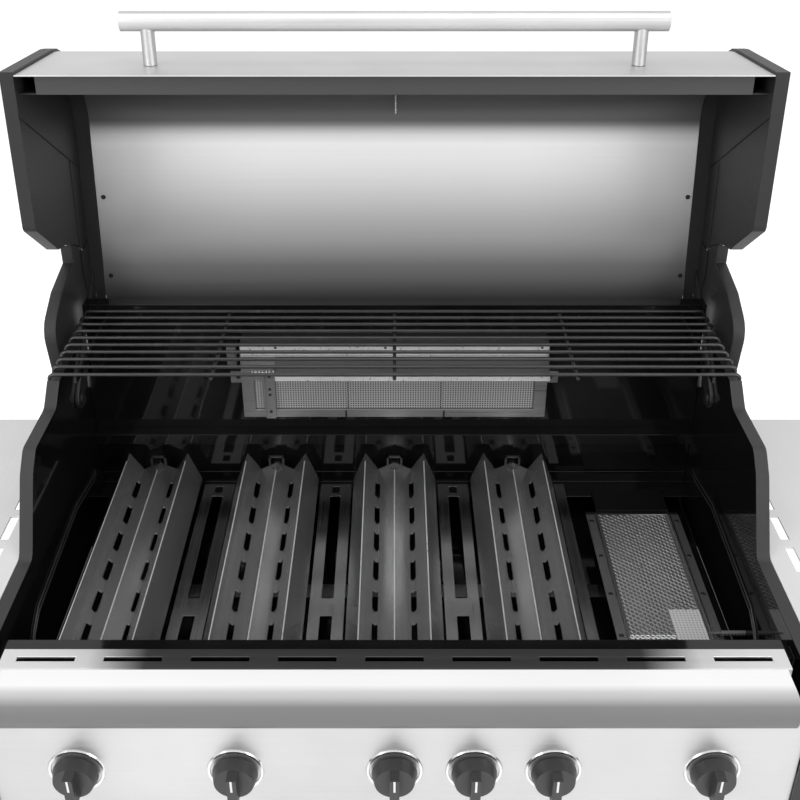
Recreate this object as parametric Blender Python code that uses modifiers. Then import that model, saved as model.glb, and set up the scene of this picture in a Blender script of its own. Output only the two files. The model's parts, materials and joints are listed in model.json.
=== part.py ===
"""Five-station gas grill head with its lid open, as separate pieces in metres, +Z up, front towards -Y."""
import math

import bmesh
import bpy
from mathutils import Matrix, Vector

# Clearances and sheet
GAP = 0.0003
SHEET = 0.0015
OVERRUN = 0.004
EDGE_BEVEL = 0.0020

# Firebox width, which the pieces between the cheeks take their own widths from
CHEEK_INNER_X = 0.4185
CHEEK_THICK = 0.0155

# Stations, one burner each: four under flame tamers and the sear burner on the right
TAMER_STATIONS = 4
STATIONS = 5
MIDDLE_STATION = 2
STATION_SIDE_ROOM = 0.0060
STATION_PITCH = (CHEEK_INNER_X - STATION_SIDE_ROOM) * 2 / STATIONS

# Cheek profile in the Y-Z plane, with a step down from the rear shoulder to the front level
CHEEK_FRONT_Y = -0.272
CHEEK_REAR_Y = 0.315
CHEEK_BASE_Z = 0.050
CHEEK_NOSE = 0.012
FRONT_LEVEL_Z = 0.248
STEP_FOOT_Y = -0.056
STEP_HEAD_Y = -0.006
STEP_HEAD_Z = 0.330
SHOULDER_FRONT_Y = 0.018
SHOULDER_Z = 0.352
SHOULDER_REAR_Y = 0.108
SEAM_FRONT_Y = 0.137
SEAM_Z = 0.3755
STEP_CURVE = 0.026
SHOULDER_CURVE = 0.016

# Lid pivot, in the side channel between cheek and back wall
PIVOT_Y = 0.194
PIVOT_Z = 0.317
LID_SWING_DEG = 94.0
PIN_RADIUS = 0.005
PIN_HEAD_RADIUS = 0.008
PIN_HEAD = 0.003
ARM_THICK = 0.005
ARM_HALF_WIDTH = 0.013
ARM_END_U = 0.125
ARM_END_W = 0.145

# Fixed hood ends behind the lid ends, swept by the lid's round rear edge
HOOD_END_RADIUS = 0.200
HOOD_END_FOOT_Y = 0.160
HOOD_END_NECK_Y = 0.1495
HOOD_END_NECK_Z = 0.440
HOOD_END_BROW_Y = 0.2050
HOOD_END_BROW_Z = 0.4660
HOOD_END_NOTCH_Y = 0.270
HOOD_END_NOTCH_Z = 0.478
HOOD_END_CURVE = 0.028

# Lid in its own closed frame: U forward of the pivot, W above it
LID_FRONT_U = 0.430
LID_RIM_W = -0.064
LID_RIM_REAR_U = 0.250
LID_RIM_CURVE = 0.010
LID_ROOF_W = 0.174
LID_EDGE_SWELL = 0.0282
LID_EDGE_RADIUS = LID_ROOF_W + LID_EDGE_SWELL
LID_EDGE_FOOT_DEG = 3.0
LID_CORNER = 0.078
LID_SKIN_INSET = 0.0040
LINER_ROOM = 0.0185
LINER_HALF_X = CHEEK_INNER_X - LINER_ROOM
LINER_REAR_U = 0.083
LINER_ROOF_U = 0.3276
LINER_ROOF_ROOM = 0.024
LINER_ROOF_W = LID_ROOF_W - LINER_ROOF_ROOM
LINER_FALL = 0.0215
LINER_REAR_W = LINER_ROOF_W - LINER_FALL
LINER_FRONT_U = 0.404
LINER_SKIRT_W = -0.050
COVE_ROOT_U = 0.175
COVE_STEP = 0.005
HANDLE_REACH = 0.045
HANDLE_U = LID_FRONT_U + HANDLE_REACH
HANDLE_RADIUS = 0.011
HANDLE_INSET = 0.1085
HANDLE_OVERHANG = 0.030
HANDLE_HALF_X = CHEEK_INNER_X - HANDLE_INSET
HANDLE_POST_X = HANDLE_HALF_X - HANDLE_OVERHANG
HANDLE_POST_RADIUS = 0.008

# Back wall, ledges and front wall
WALL_ROOM = 0.0060
WALL_HALF_X = CHEEK_INNER_X - WALL_ROOM
WALL_SHOULDER_Z = 0.318
BACK_WALL_Y = 0.2558
BACK_WALL_FOOT_Z = 0.0605
BACK_WALL_TOP_Z = 0.424
BACK_WALL_FLANGE = 0.020
REAR_COVER_Y = 0.3000
REAR_COVER_TOP_Z = 0.330
LEDGE_ROOM = 0.0005
LEDGE_HALF_X = CHEEK_INNER_X - LEDGE_ROOM
GRATE_LEVEL_Z = 0.2345
LEDGE_DEPTH = 0.0195
LEDGE_LIP = 0.0150
LEDGE_BACK = 0.0130
BRACKET_HALF_X = 0.0075
BRACKET_REACH = 0.0310
BURNER_RAIL_Z = 0.1428
BURNER_RAIL_BACK = 0.018
BURNER_RAIL_DEPTH = 0.038
FRONT_WALL_Y = -0.2035
FRONT_LEDGE_DEPTH = 0.0265
FRONT_LEDGE_LIP = 0.0070
FRONT_SEAT_DEPTH = 0.0225

# Front trim: slotted strip, rounded rail and control panel
STRIP_REAR_Y = -0.2055
STRIP_FRONT_Y = -0.2335
STRIP_ROOM = 0.0135
STRIP_HALF_X = CHEEK_INNER_X - STRIP_ROOM
STRIP_DROP_REAR = 0.012
STRIP_DROP_FRONT = 0.023
STRIP_SLOTS = 9
STRIP_SLOT_TRIM = 0.0004
STRIP_SLOT_PITCH = STRIP_HALF_X * 2 / STRIP_SLOTS - STRIP_SLOT_TRIM
STRIP_SLOT_LENGTH = 0.060
STRIP_SLOT_WIDTH = 0.0062
RAIL_ROOM = 0.0185
RAIL_HALF_X = CHEEK_INNER_X - RAIL_ROOM
RAIL_DEPTH = 0.0520
RAIL_HEIGHT = 0.0410
PANEL_Y = -0.268
PANEL_TOP_Z = 0.2055
PANEL_FOOT_Z = 0.0620
PANEL_FLANGE_TOP = 0.028
PANEL_FLANGE_FOOT = 0.016

# Flame tamers: W section along Y, half widths and depths below the outer ridges
TAMER_TOP_Z = 0.206
TAMER_FRONT_Y = -0.188
TAMER_LENGTH = 0.419
TAMER_RIDGE_X = 0.0405
TAMER_VALLEY_X = 0.0230
TAMER_LEG_X = 0.0570
TAMER_VALLEY_DEPTH = 0.0265
TAMER_MIDDLE_DEPTH = 0.0145
TAMER_LEG_DEPTH = 0.0420
TAMER_SEAT_HALF = 0.0300
TAMER_SHEET = 0.0012
TAMER_SEAT_Z = TAMER_TOP_Z - TAMER_VALLEY_DEPTH - TAMER_SHEET
TAMER_SLOTS = 7
TAMER_SLOT_PITCH = 0.0575
TAMER_SLOT_LENGTH = 0.0345
TAMER_SLOT_WIDTH = 0.0064
TAMER_FIRST_SLOT = 0.036

# Slotted channels between the burners, resting on the burner rail and a front seat
CHANNEL_HALF = 0.0210
CHANNEL_TOP_Z = 0.1560
CHANNEL_FRONT_Y = -0.188
CHANNEL_REAR_Y = 0.2286
CHANNEL_SLOT_HALF = 0.0072
CHANNEL_HOLE_HALF = 0.0050
CHANNEL_FRONT_SLOT_Y = -0.150
CHANNEL_BRIDGE_FRONT_Y = -0.049
CHANNEL_BRIDGE_REAR_Y = -0.0166
CHANNEL_REAR_SLOT_Y = 0.199
CHANNEL_HOLE_FRONT_Y = 0.207
CHANNEL_HOLE_REAR_Y = 0.2225

# Tube burners
BURNER_Z = 0.1550
BURNER_RADIUS = 0.0110
BURNER_FRONT_Y = -0.209
BURNER_REAR_Y = 0.228
BURNER_BORE = 0.0065
BURNER_BORE_DEPTH = 0.020

# Sear burner, two 132 by 92 mm ceramic tiles long and one bare at the front
SEAR_FLANGE_Z = 0.1400
SEAR_HALF_WIDTH = 0.0640
SEAR_FRONT_Y = -0.192
SEAR_REAR_Y = 0.184
SEAR_BODY_HALF = 0.0500
SEAR_BODY_DEPTH = 0.0350
SEAR_TUBE_Z = 0.1225
SEAR_LUG_HALF = 0.050
SEAR_LUG_REACH = 0.048
SEAR_LUG_Z = 0.1440
TILE_HALF_WIDTH = 0.0460
TILE_THICK = 0.0130
TILE_MARGIN = 0.008
MESH_FRONT_Y = -0.084
MESH_HALF_WIDTH = 0.0520
MESH_THICK = 0.0012
DIAMOND_COLUMNS = 7
DIAMOND_ROWS = 16
DIAMOND_SHARE = 0.80
IGNITER_Y = -0.070
IGNITER_Z = 0.1475
IGNITER_RADIUS = 0.0032
IGNITER_LENGTH = 0.030
IGNITER_WIRE_RADIUS = 0.0012
IGNITER_WIRE = 0.014

# Rear infrared burner on the back wall
REAR_HALF_X = 0.2065
REAR_TOP_Z = 0.374
REAR_FOOT_Z = 0.264
REAR_DEPTH = 0.0205
REAR_FACE_HALF_X = 0.190
REAR_FACE_FOOT_Z = 0.276
REAR_FACE_TOP_Z = 0.321
REAR_FACE_RECESS = 0.0080
REAR_FACE_THICK = 0.0050
REAR_FACE_JOINT = 0.0022
REAR_PANELS = 3
REAR_HOOD_LEFT_X = -0.159
REAR_HOOD_ROOT_Z = 0.3516
REAR_HOOD_REACH = 0.018
REAR_HOOD_DROP = 0.0126
REAR_HOOD_LIP = 0.007
REAR_TAB = 0.017
REAR_TAB_HALF = 0.0085
REAR_TAB_Z = 0.317
REAR_TAB_THICK = 0.003
ELECTRODE_ROOM = 0.0125
ELECTRODE_X = -REAR_HALF_X - ELECTRODE_ROOM
ELECTRODE_HALF = 0.0065
ELECTRODE_DEPTH = 0.010
ELECTRODE_FOOT_Z = 0.336
ELECTRODE_TOP_Z = 0.366
ELECTRODE_ROD = 0.0018
ELECTRODE_REACH = 0.020

# Warming rack on two wall hangers
RACK_RODS = 10
RACK_FRONT_Y = 0.074
RACK_PITCH = 0.0190
RACK_ROOM = 0.0081
RACK_HALF_X = CHEEK_INNER_X - RACK_ROOM
RACK_Z = 0.4197
ROD_RADIUS = 0.0023
CROSS_INSET = 0.1939
CROSS_X = RACK_HALF_X - CROSS_INSET
CROSS_DROP = 0.0036
CROSS_END = 0.006
PEG_INSET = 0.0498
PEG_X = RACK_HALF_X - PEG_INSET
PEG_LENGTH = 0.0155
PEG_RADIUS = 0.0018
HANGER_INSET = 0.0354
HANGER_X = RACK_HALF_X - HANGER_INSET
HANGER_THICK = 0.003
HANGER_TIP = 0.008
HANGER_ROOT = 0.046
HANGER_KNEE = 0.075

# Gas manifold, valves, stems and knobs
MANIFOLD_Y = -0.2245
MANIFOLD_Z = 0.1200
MANIFOLD_RADIUS = 0.0095
MANIFOLD_HALF_X = CHEEK_INNER_X - GAP
VALVE_HALF_X = 0.0110
VALVE_FRONT_Y = -0.237
VALVE_REAR_Y = -0.212
VALVE_FOOT_Z = 0.111
VALVE_TOP_Z = 0.166
NOZZLE_RADIUS = 0.0040
NOZZLE_REAR_Y = -0.200
EXTRA_KNOB_SHARE = 0.5
KNOB_Z = 0.140
STEM_RADIUS = 0.0040
STEM_REAR_Y = -0.2315
STEM_FRONT_Y = -0.287
KNOB_TRAVEL = 0.0030
STEM_SOCKET_Y = STEM_REAR_Y + KNOB_TRAVEL + 3 * GAP
KNOB_RADIUS = 0.0240
KNOB_FRONT_RADIUS = 0.0205
KNOB_CLEARANCE = 0.00175
KNOB_REAR_Y = PANEL_Y - SHEET / 2 - KNOB_TRAVEL - KNOB_CLEARANCE
KNOB_DEPTH = 0.0130
KNOB_GRIP_HALF = 0.0050
KNOB_GRIP_DEPTH = 0.0140
KNOB_GRIP_HALF_LENGTH = 0.0195
KNOB_GRIP_SINK = 0.003
PANEL_HOLE = 0.0080
KNOB_SIDES = 28

# Grease path and base
HOPPER_TOP_Z = 0.1040
HOPPER_FOOT_Z = 0.0605
TRAY_INSET = 0.1185
TRAY_HALF_X = CHEEK_INNER_X - TRAY_INSET
HOPPER_MOUTH_INSET = 0.012
HOPPER_MOUTH_HALF_X = TRAY_HALF_X - HOPPER_MOUTH_INSET
HOPPER_MOUTH_FRONT_Y = 0.0956
HOPPER_MOUTH_REAR_Y = 0.1225
TRAY_FRONT_Y = -0.250
TRAY_REAR_Y = 0.240
TRAY_TOP_Z = 0.052
TRAY_LIP = 0.014
FRAME_MEMBER = 0.030
FRAME_HEIGHT = 0.028
FRAME_FRONT_Y = -0.262
FRAME_CENTRE_HALF = 0.015

# Side shelves with a slotted edge, each on two brackets
SHELF_WIDTH = 0.285
SHELF_FRONT_Y = -0.262
SHELF_REAR_Y = 0.254
SHELF_LIP = 0.034
SHELF_SHEET = 0.0020
SHELF_SLOT_X = 0.463
SHELF_SLOT_WIDTH = 0.010
SHELF_SLOT_LENGTH = 0.045
SHELF_SLOT_PITCH = 0.060
SHELF_SLOTS = 8
SHELF_SLOT_CUT = 0.005
SHELF_FIRST_SLOT = 0.048
SHELF_BRACKET_REACH = 0.170
SHELF_BRACKET_DROP = 0.095
SHELF_BRACKET_THICK = 0.004
SHELF_BRACKET_INSET = 0.070
SHELF_BRACKET_NOSE = 0.012

# Round detail
LEVEL_FACE_SHARE = 0.99
ROUND_SIDES = 20
WIRE_SIDES = 6
CORNER_STEPS = 7
CURVE_STEPS = 4


def clear_scene():
    for item in list(bpy.data.objects):
        bpy.data.objects.remove(item, do_unlink=True)


def collection(name):
    group = bpy.data.collections.new(name)
    bpy.context.scene.collection.children.link(group)
    return group


def material(name, colour, roughness, metallic):
    made = bpy.data.materials.new(name)
    made.use_nodes = True
    shader = made.node_tree.nodes["Principled BSDF"]
    shader.inputs["Base Color"].default_value = (*colour, 1)
    shader.inputs["Roughness"].default_value = roughness
    shader.inputs["Metallic"].default_value = metallic
    return made


clear_scene()
PARTS = collection("gas_grill")
CUTTERS = collection("cutters")

LOOKS = {
    "charcoal": ((0.045, 0.045, 0.047), 0.45, 0.2),
    "stainless": ((0.62, 0.62, 0.63), 0.28, 1.0),
    "enamel": ((0.012, 0.012, 0.012), 0.12, 0.0),
    "tamer_steel": ((0.33, 0.33, 0.34), 0.35, 1.0),
    "ceramic": ((0.78, 0.78, 0.76), 0.80, 0.0),
    "dark_steel": ((0.10, 0.10, 0.10), 0.40, 0.9),
    "brass": ((0.60, 0.47, 0.22), 0.35, 1.0),
    "knob_black": ((0.03, 0.03, 0.03), 0.35, 0.0),
}


def finish(obj, look, parent=None):
    """Give a piece its own material, smooth round faces and a place in the parts collection."""
    for group in list(obj.users_collection):
        group.objects.unlink(obj)
    PARTS.objects.link(obj)
    obj.data.materials.clear()
    obj.data.materials.append(material(obj.name, *LOOKS[look]))
    obj.data.shade_smooth()
    obj.data.set_sharp_from_angle(angle=math.radians(35))
    if parent:
        obj.parent = parent
    return obj


def mesh_object(name, build):
    mesh = bpy.data.meshes.new(name)
    data = bmesh.new()
    build(data)
    bmesh.ops.recalc_face_normals(data, faces=data.faces)
    data.to_mesh(mesh)
    data.free()
    obj = bpy.data.objects.new(name, mesh)
    PARTS.objects.link(obj)
    return obj


def add_block(data, low, high):
    low, high = Vector(low), Vector(high)
    place = Matrix.Translation((low + high) / 2) @ Matrix.Diagonal((*(high - low), 1))
    return bmesh.ops.create_cube(data, size=1, matrix=place)["verts"]


def add_rod(data, start, end, radius, end_radius=None, sides=ROUND_SIDES):
    start, end = Vector(start), Vector(end)
    turn = (end - start).to_track_quat("Z", "Y").to_matrix().to_4x4()
    place = Matrix.Translation((start + end) / 2) @ turn
    end_radius = radius if end_radius is None else end_radius
    bmesh.ops.create_cone(data, cap_ends=True, segments=sides, radius1=radius, radius2=end_radius,
                          depth=(end - start).length, matrix=place)


def block(name, low, high):
    return mesh_object(name, lambda data: add_block(data, low, high))


def blocks(name, corners):
    def build(data):
        for low, high in corners:
            add_block(data, low, high)
    return mesh_object(name, build)


def rods(name, ends, radius, sides=ROUND_SIDES):
    def build(data):
        for start, end in ends:
            add_rod(data, start, end, radius, sides=sides)
    return mesh_object(name, build)


def boolean(obj, tool, operation):
    """Cut or join with a tool object, which moves to the hidden collection of cutters."""
    PARTS.objects.unlink(tool)
    CUTTERS.objects.link(tool)
    tool.hide_render = True
    tool.display_type = "WIRE"
    tool.parent = obj.parent
    modifier = obj.modifiers.new(tool.name, "BOOLEAN")
    modifier.operation = operation
    modifier.solver = "EXACT"
    modifier.object = tool


def cut(obj, tool):
    boolean(obj, tool, "DIFFERENCE")


def join(obj, tool):
    boolean(obj, tool, "UNION")


SIDE_VIEW = Matrix(((0, 0, 1, 0), (1, 0, 0, 0), (0, 1, 0, 0), (0, 0, 0, 1)))
FRONT_VIEW = Matrix(((1, 0, 0, 0), (0, 0, -1, 0), (0, 1, 0, 0), (0, 0, 0, 1)))


def plate(name, outline, low, high, view=SIDE_VIEW, bevel=0):
    """A flat outline with thickness, from low to high along X (side view) or along -Y (front view)."""
    curve = bpy.data.curves.new(name, "CURVE")
    curve.dimensions = "2D"
    curve.fill_mode = "BOTH"
    curve.extrude = (high - low) / 2
    spline = curve.splines.new("POLY")
    spline.points.add(len(outline) - 1)
    for point, (across, up) in zip(spline.points, outline):
        point.co = (across, up, 0, 1)
    spline.use_cyclic_u = True
    flat = bpy.data.objects.new(name + "_outline", curve)
    PARTS.objects.link(flat)
    bpy.context.view_layer.update()
    evaluated = flat.evaluated_get(bpy.context.evaluated_depsgraph_get())
    mesh = bpy.data.meshes.new_from_object(evaluated)
    mesh.name = name
    data = bmesh.new()
    data.from_mesh(mesh)
    bmesh.ops.remove_doubles(data, verts=data.verts, dist=GAP / 10)
    bmesh.ops.transform(data, verts=data.verts, matrix=view @ Matrix.Translation((0, 0, (low + high) / 2)))
    bmesh.ops.recalc_face_normals(data, faces=data.faces)
    data.to_mesh(mesh)
    data.free()
    bpy.data.objects.remove(flat)
    obj = bpy.data.objects.new(name, mesh)
    PARTS.objects.link(obj)
    if bevel:
        edge = obj.modifiers.new("edge", "BEVEL")
        edge.width = bevel
        edge.segments = 2
        edge.limit_method = "ANGLE"
        edge.angle_limit = math.radians(60)
    return obj


def folded_sheet(name, path, low, high, along="X", thick=SHEET):
    """A bent sheet: an open path in the section plane, run along X or Y, then given its thickness."""
    def corner(a, b, run):
        return (run, a, b) if along == "X" else (a, run, b)

    mesh = bpy.data.meshes.new(name)
    data = bmesh.new()
    sides = [[data.verts.new(corner(a, b, run)) for a, b in path] for run in (low, high)]
    for i in range(len(path) - 1):
        data.faces.new((sides[0][i], sides[0][i + 1], sides[1][i + 1], sides[1][i]))
    data.to_mesh(mesh)
    data.free()
    obj = bpy.data.objects.new(name, mesh)
    PARTS.objects.link(obj)
    skin = obj.modifiers.new("thickness", "SOLIDIFY")
    skin.thickness = thick
    skin.offset = 0
    skin.use_even_offset = True
    return obj


def arc(centre, radius, start_deg, end_deg, steps=CORNER_STEPS):
    points = []
    for i in range(steps + 1):
        angle = math.radians(start_deg + (end_deg - start_deg) * i / steps)
        points.append((centre[0] + radius * math.cos(angle), centre[1] + radius * math.sin(angle)))
    return points


def rounded(corners):
    """An outline whose corners, given as (across, up, radius), are turned into short arcs."""
    outline = []
    for i, (across, up, radius) in enumerate(corners):
        here = Vector((across, up))
        before = (Vector(corners[i - 1][:2]) - here).normalized()
        after = (Vector(corners[(i + 1) % len(corners)][:2]) - here).normalized()
        if not radius:
            outline.append((across, up))
            continue
        half = before.angle(after) / 2
        centre = here + (before + after).normalized() * radius / math.sin(half)
        start, end = here + before * radius / math.tan(half), here + after * radius / math.tan(half)
        for step in range(CURVE_STEPS + 1):
            spoke = (start - centre).lerp(end - centre, step / CURVE_STEPS)
            outline.append(tuple(centre + spoke.normalized() * radius))
    return outline


def station_x(index):
    return (index - MIDDLE_STATION) * STATION_PITCH


def channel_x(index):
    """Midway between a station and the next."""
    return station_x(index) + STATION_PITCH / 2


def knob_places():
    """One knob a station, and one more for the rear burner between the third and fourth."""
    places = [station_x(i) for i in range(STATIONS)]
    places.append(station_x(MIDDLE_STATION + EXTRA_KNOB_SHARE))
    return sorted(places)


SIDES = (("left", -1), ("right", 1))
CHEEK_OUTER_X = CHEEK_INNER_X + CHEEK_THICK
ARM_OUTER_X = CHEEK_INNER_X - GAP
ARM_INNER_X = ARM_OUTER_X - ARM_THICK


def span(side, inner, outer):
    """The X range of a piece from inner to outer on one side."""
    return tuple(sorted((side * inner, side * outer)))


def cheek_outline():
    return rounded([(CHEEK_FRONT_Y, CHEEK_BASE_Z, 0), (CHEEK_FRONT_Y, FRONT_LEVEL_Z, CHEEK_NOSE),
                    (STEP_FOOT_Y, FRONT_LEVEL_Z, SHOULDER_CURVE), (STEP_HEAD_Y, STEP_HEAD_Z, STEP_CURVE),
                    (SHOULDER_FRONT_Y, SHOULDER_Z, SHOULDER_CURVE),
                    (SHOULDER_REAR_Y, SHOULDER_Z, SHOULDER_CURVE),
                    (SEAM_FRONT_Y, SEAM_Z, 0), (CHEEK_REAR_Y, SEAM_Z, 0), (CHEEK_REAR_Y, CHEEK_BASE_Z, 0)])


def make_cheeks():
    for word, side in SIDES:
        low, high = span(side, CHEEK_INNER_X, CHEEK_OUTER_X)
        cheek = plate("cheek_" + word, cheek_outline(), low, high, bevel=EDGE_BEVEL)
        hole = rods("pin_hole_" + word, [((low - OVERRUN, PIVOT_Y, PIVOT_Z),
                                          (high + OVERRUN, PIVOT_Y, PIVOT_Z))],
                    PIN_RADIUS + GAP)
        cut(cheek, hole)
        finish(cheek, "charcoal")


def make_hood_ends():
    """The fixed ends of the hood, whose round top lies just inside the lid's swept edge."""
    foot = SEAM_Z + GAP
    start = math.degrees(math.acos((HOOD_END_NOTCH_Y - PIVOT_Y) / HOOD_END_RADIUS))
    end = math.degrees(math.acos((CHEEK_REAR_Y - PIVOT_Y) / HOOD_END_RADIUS))
    crown = arc((PIVOT_Y, PIVOT_Z), HOOD_END_RADIUS, start, end)
    outline = rounded([(HOOD_END_FOOT_Y, foot, 0), (HOOD_END_NECK_Y, HOOD_END_NECK_Z, HOOD_END_CURVE),
                       (HOOD_END_BROW_Y, HOOD_END_BROW_Z, HOOD_END_CURVE),
                       (HOOD_END_NOTCH_Y, HOOD_END_NOTCH_Z, 0)]
                      + [(y, z, 0) for y, z in crown] + [(CHEEK_REAR_Y, foot, 0)])
    for word, side in SIDES:
        low, high = span(side, CHEEK_INNER_X, CHEEK_OUTER_X)
        finish(plate("hood_end_" + word, outline, low, high, bevel=EDGE_BEVEL), "charcoal")


def make_back_wall():
    face = []
    for side in (-1, 1):
        edge = [(LEDGE_HALF_X, BACK_WALL_FOOT_Z), (LEDGE_HALF_X, WALL_SHOULDER_Z),
                (WALL_HALF_X, WALL_SHOULDER_Z),
                (WALL_HALF_X, BACK_WALL_TOP_Z)]
        face += [(side * x, z) for x, z in (edge if side < 0 else reversed(edge))]
    wall = plate("back_wall", face, -BACK_WALL_Y - SHEET / 2, -BACK_WALL_Y + SHEET / 2, FRONT_VIEW)
    join(wall, block("wall_flange", (-WALL_HALF_X + GAP, BACK_WALL_Y - GAP, BACK_WALL_TOP_Z - SHEET),
                     (WALL_HALF_X - GAP, BACK_WALL_Y + BACK_WALL_FLANGE, BACK_WALL_TOP_Z - GAP)))
    top = RACK_Z - ROD_RADIUS - GAP
    tip_y = RACK_FRONT_Y - ROD_RADIUS
    outline = [(BACK_WALL_Y, top - HANGER_ROOT), (BACK_WALL_Y, top), (tip_y, top),
               (tip_y, top - HANGER_TIP),
               (BACK_WALL_Y - HANGER_KNEE, top - HANGER_TIP - ROD_RADIUS)]
    for word, side in SIDES:
        low, high = span(side, HANGER_X, HANGER_X + HANGER_THICK)
        join(wall, plate("hanger_" + word, outline, low, high))
    finish(wall, "enamel")
    cover = folded_sheet("rear_cover", [(REAR_COVER_Y, BACK_WALL_FOOT_Z), (REAR_COVER_Y, REAR_COVER_TOP_Z)],
                         -CHEEK_INNER_X + GAP, CHEEK_INNER_X - GAP)
    finish(cover, "dark_steel")


def ledge_back_y():
    return BACK_WALL_Y - SHEET - GAP


def make_ledges():
    """The rear grate ledge with a hooked bracket for each tamer, and the rail under the burners' ends."""
    back = ledge_back_y()
    path = [(back, GRATE_LEVEL_Z - LEDGE_BACK), (back, GRATE_LEVEL_Z), (back - LEDGE_DEPTH, GRATE_LEVEL_Z),
            (back - LEDGE_DEPTH, GRATE_LEVEL_Z - LEDGE_LIP)]
    ledge = folded_sheet("rear_grate_ledge", path, -LEDGE_HALF_X, LEDGE_HALF_X)
    rear, front = back + SHEET / 2, back - BRACKET_REACH
    hook = [(rear, GRATE_LEVEL_Z - LEDGE_BACK / 2), (rear, TAMER_SEAT_Z - SHEET),
            (front, TAMER_SEAT_Z - SHEET),
            (front, TAMER_SEAT_Z), (rear - SHEET, TAMER_SEAT_Z),
            (rear - SHEET, GRATE_LEVEL_Z - LEDGE_BACK / 2)]
    for i in range(TAMER_STATIONS):
        middle = station_x(i)
        join(ledge, plate(f"tamer_hook_{i + 1}", hook, middle - BRACKET_HALF_X, middle + BRACKET_HALF_X))
    finish(ledge, "enamel")
    rail = folded_sheet("burner_rail", [(back, BURNER_RAIL_Z + BURNER_RAIL_BACK), (back, BURNER_RAIL_Z),
                                        (back - BURNER_RAIL_DEPTH, BURNER_RAIL_Z)], -LEDGE_HALF_X,
                                        LEDGE_HALF_X)
    finish(rail, "enamel")


def make_front_wall():
    """The firebox's front wall, with the grate ledge on top, the tamers' seat and the burner holes."""
    ledge = FRONT_WALL_Y + FRONT_LEDGE_DEPTH
    path = [(ledge, GRATE_LEVEL_Z - FRONT_LEDGE_LIP), (ledge, GRATE_LEVEL_Z), (FRONT_WALL_Y, GRATE_LEVEL_Z),
            (FRONT_WALL_Y, BACK_WALL_FOOT_Z)]
    wall = folded_sheet("front_wall", path, -LEDGE_HALF_X, LEDGE_HALF_X)
    seats = [(station_x(i), TAMER_SEAT_HALF, TAMER_SEAT_Z) for i in range(TAMER_STATIONS)]
    seats += [(channel_x(i), CHANNEL_HALF, BURNER_RAIL_Z + SHEET / 2) for i in range(TAMER_STATIONS)]
    join(wall, blocks("front_seats", [((x - half, FRONT_WALL_Y, top - SHEET),
                                       (x + half, FRONT_WALL_Y + FRONT_SEAT_DEPTH, top)) for x, half,
                                       top in seats]))
    ends = []
    for i in range(STATIONS):
        height = BURNER_Z if i < TAMER_STATIONS else SEAR_TUBE_Z
        ends.append(((station_x(i), FRONT_WALL_Y - OVERRUN, height), (station_x(i), FRONT_WALL_Y + OVERRUN,
                                                                      height)))
    cut(wall, rods("burner_holes", ends, BURNER_RADIUS + GAP))
    finish(wall, "enamel")


def make_front_trim():
    path = [(STRIP_REAR_Y, FRONT_LEVEL_Z - STRIP_DROP_REAR), (STRIP_REAR_Y, FRONT_LEVEL_Z),
            (STRIP_FRONT_Y, FRONT_LEVEL_Z), (STRIP_FRONT_Y, FRONT_LEVEL_Z - STRIP_DROP_FRONT)]
    strip = folded_sheet("slotted_strip", path, -STRIP_HALF_X, STRIP_HALF_X)
    middle_y = (STRIP_REAR_Y + STRIP_FRONT_Y) / 2
    slots = []
    for i in range(STRIP_SLOTS):
        x = (i - (STRIP_SLOTS - 1) / 2) * STRIP_SLOT_PITCH
        slots.append(((x - STRIP_SLOT_LENGTH / 2, middle_y - STRIP_SLOT_WIDTH / 2, FRONT_LEVEL_Z - OVERRUN),
                      (x + STRIP_SLOT_LENGTH / 2, middle_y + STRIP_SLOT_WIDTH / 2,
                       FRONT_LEVEL_Z + OVERRUN)))
    cut(strip, blocks("strip_slots", slots))
    finish(strip, "stainless")

    rear = STRIP_FRONT_Y - SHEET / 2 - GAP
    radius = RAIL_HEIGHT / 2
    middle_z = FRONT_LEVEL_Z + SHEET / 2 - radius
    nose = arc((rear - RAIL_DEPTH + radius, middle_z), radius, 90, 270, CORNER_STEPS + CORNER_STEPS)
    outline = [(rear, middle_z - radius), (rear, middle_z + radius)] + nose
    finish(plate("front_rail", outline, -RAIL_HALF_X, RAIL_HALF_X, bevel=EDGE_BEVEL), "stainless")

    path = [(PANEL_Y + PANEL_FLANGE_TOP, PANEL_TOP_Z), (PANEL_Y, PANEL_TOP_Z), (PANEL_Y, PANEL_FOOT_Z),
            (PANEL_Y + PANEL_FLANGE_FOOT, PANEL_FOOT_Z)]
    panel = folded_sheet("control_panel", path, -LEDGE_HALF_X, LEDGE_HALF_X)
    ends = [((x, PANEL_Y - OVERRUN, KNOB_Z), (x, PANEL_Y + OVERRUN, KNOB_Z)) for x in knob_places()]
    cut(panel, rods("stem_holes", ends, PANEL_HOLE))
    finish(panel, "stainless")


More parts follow.
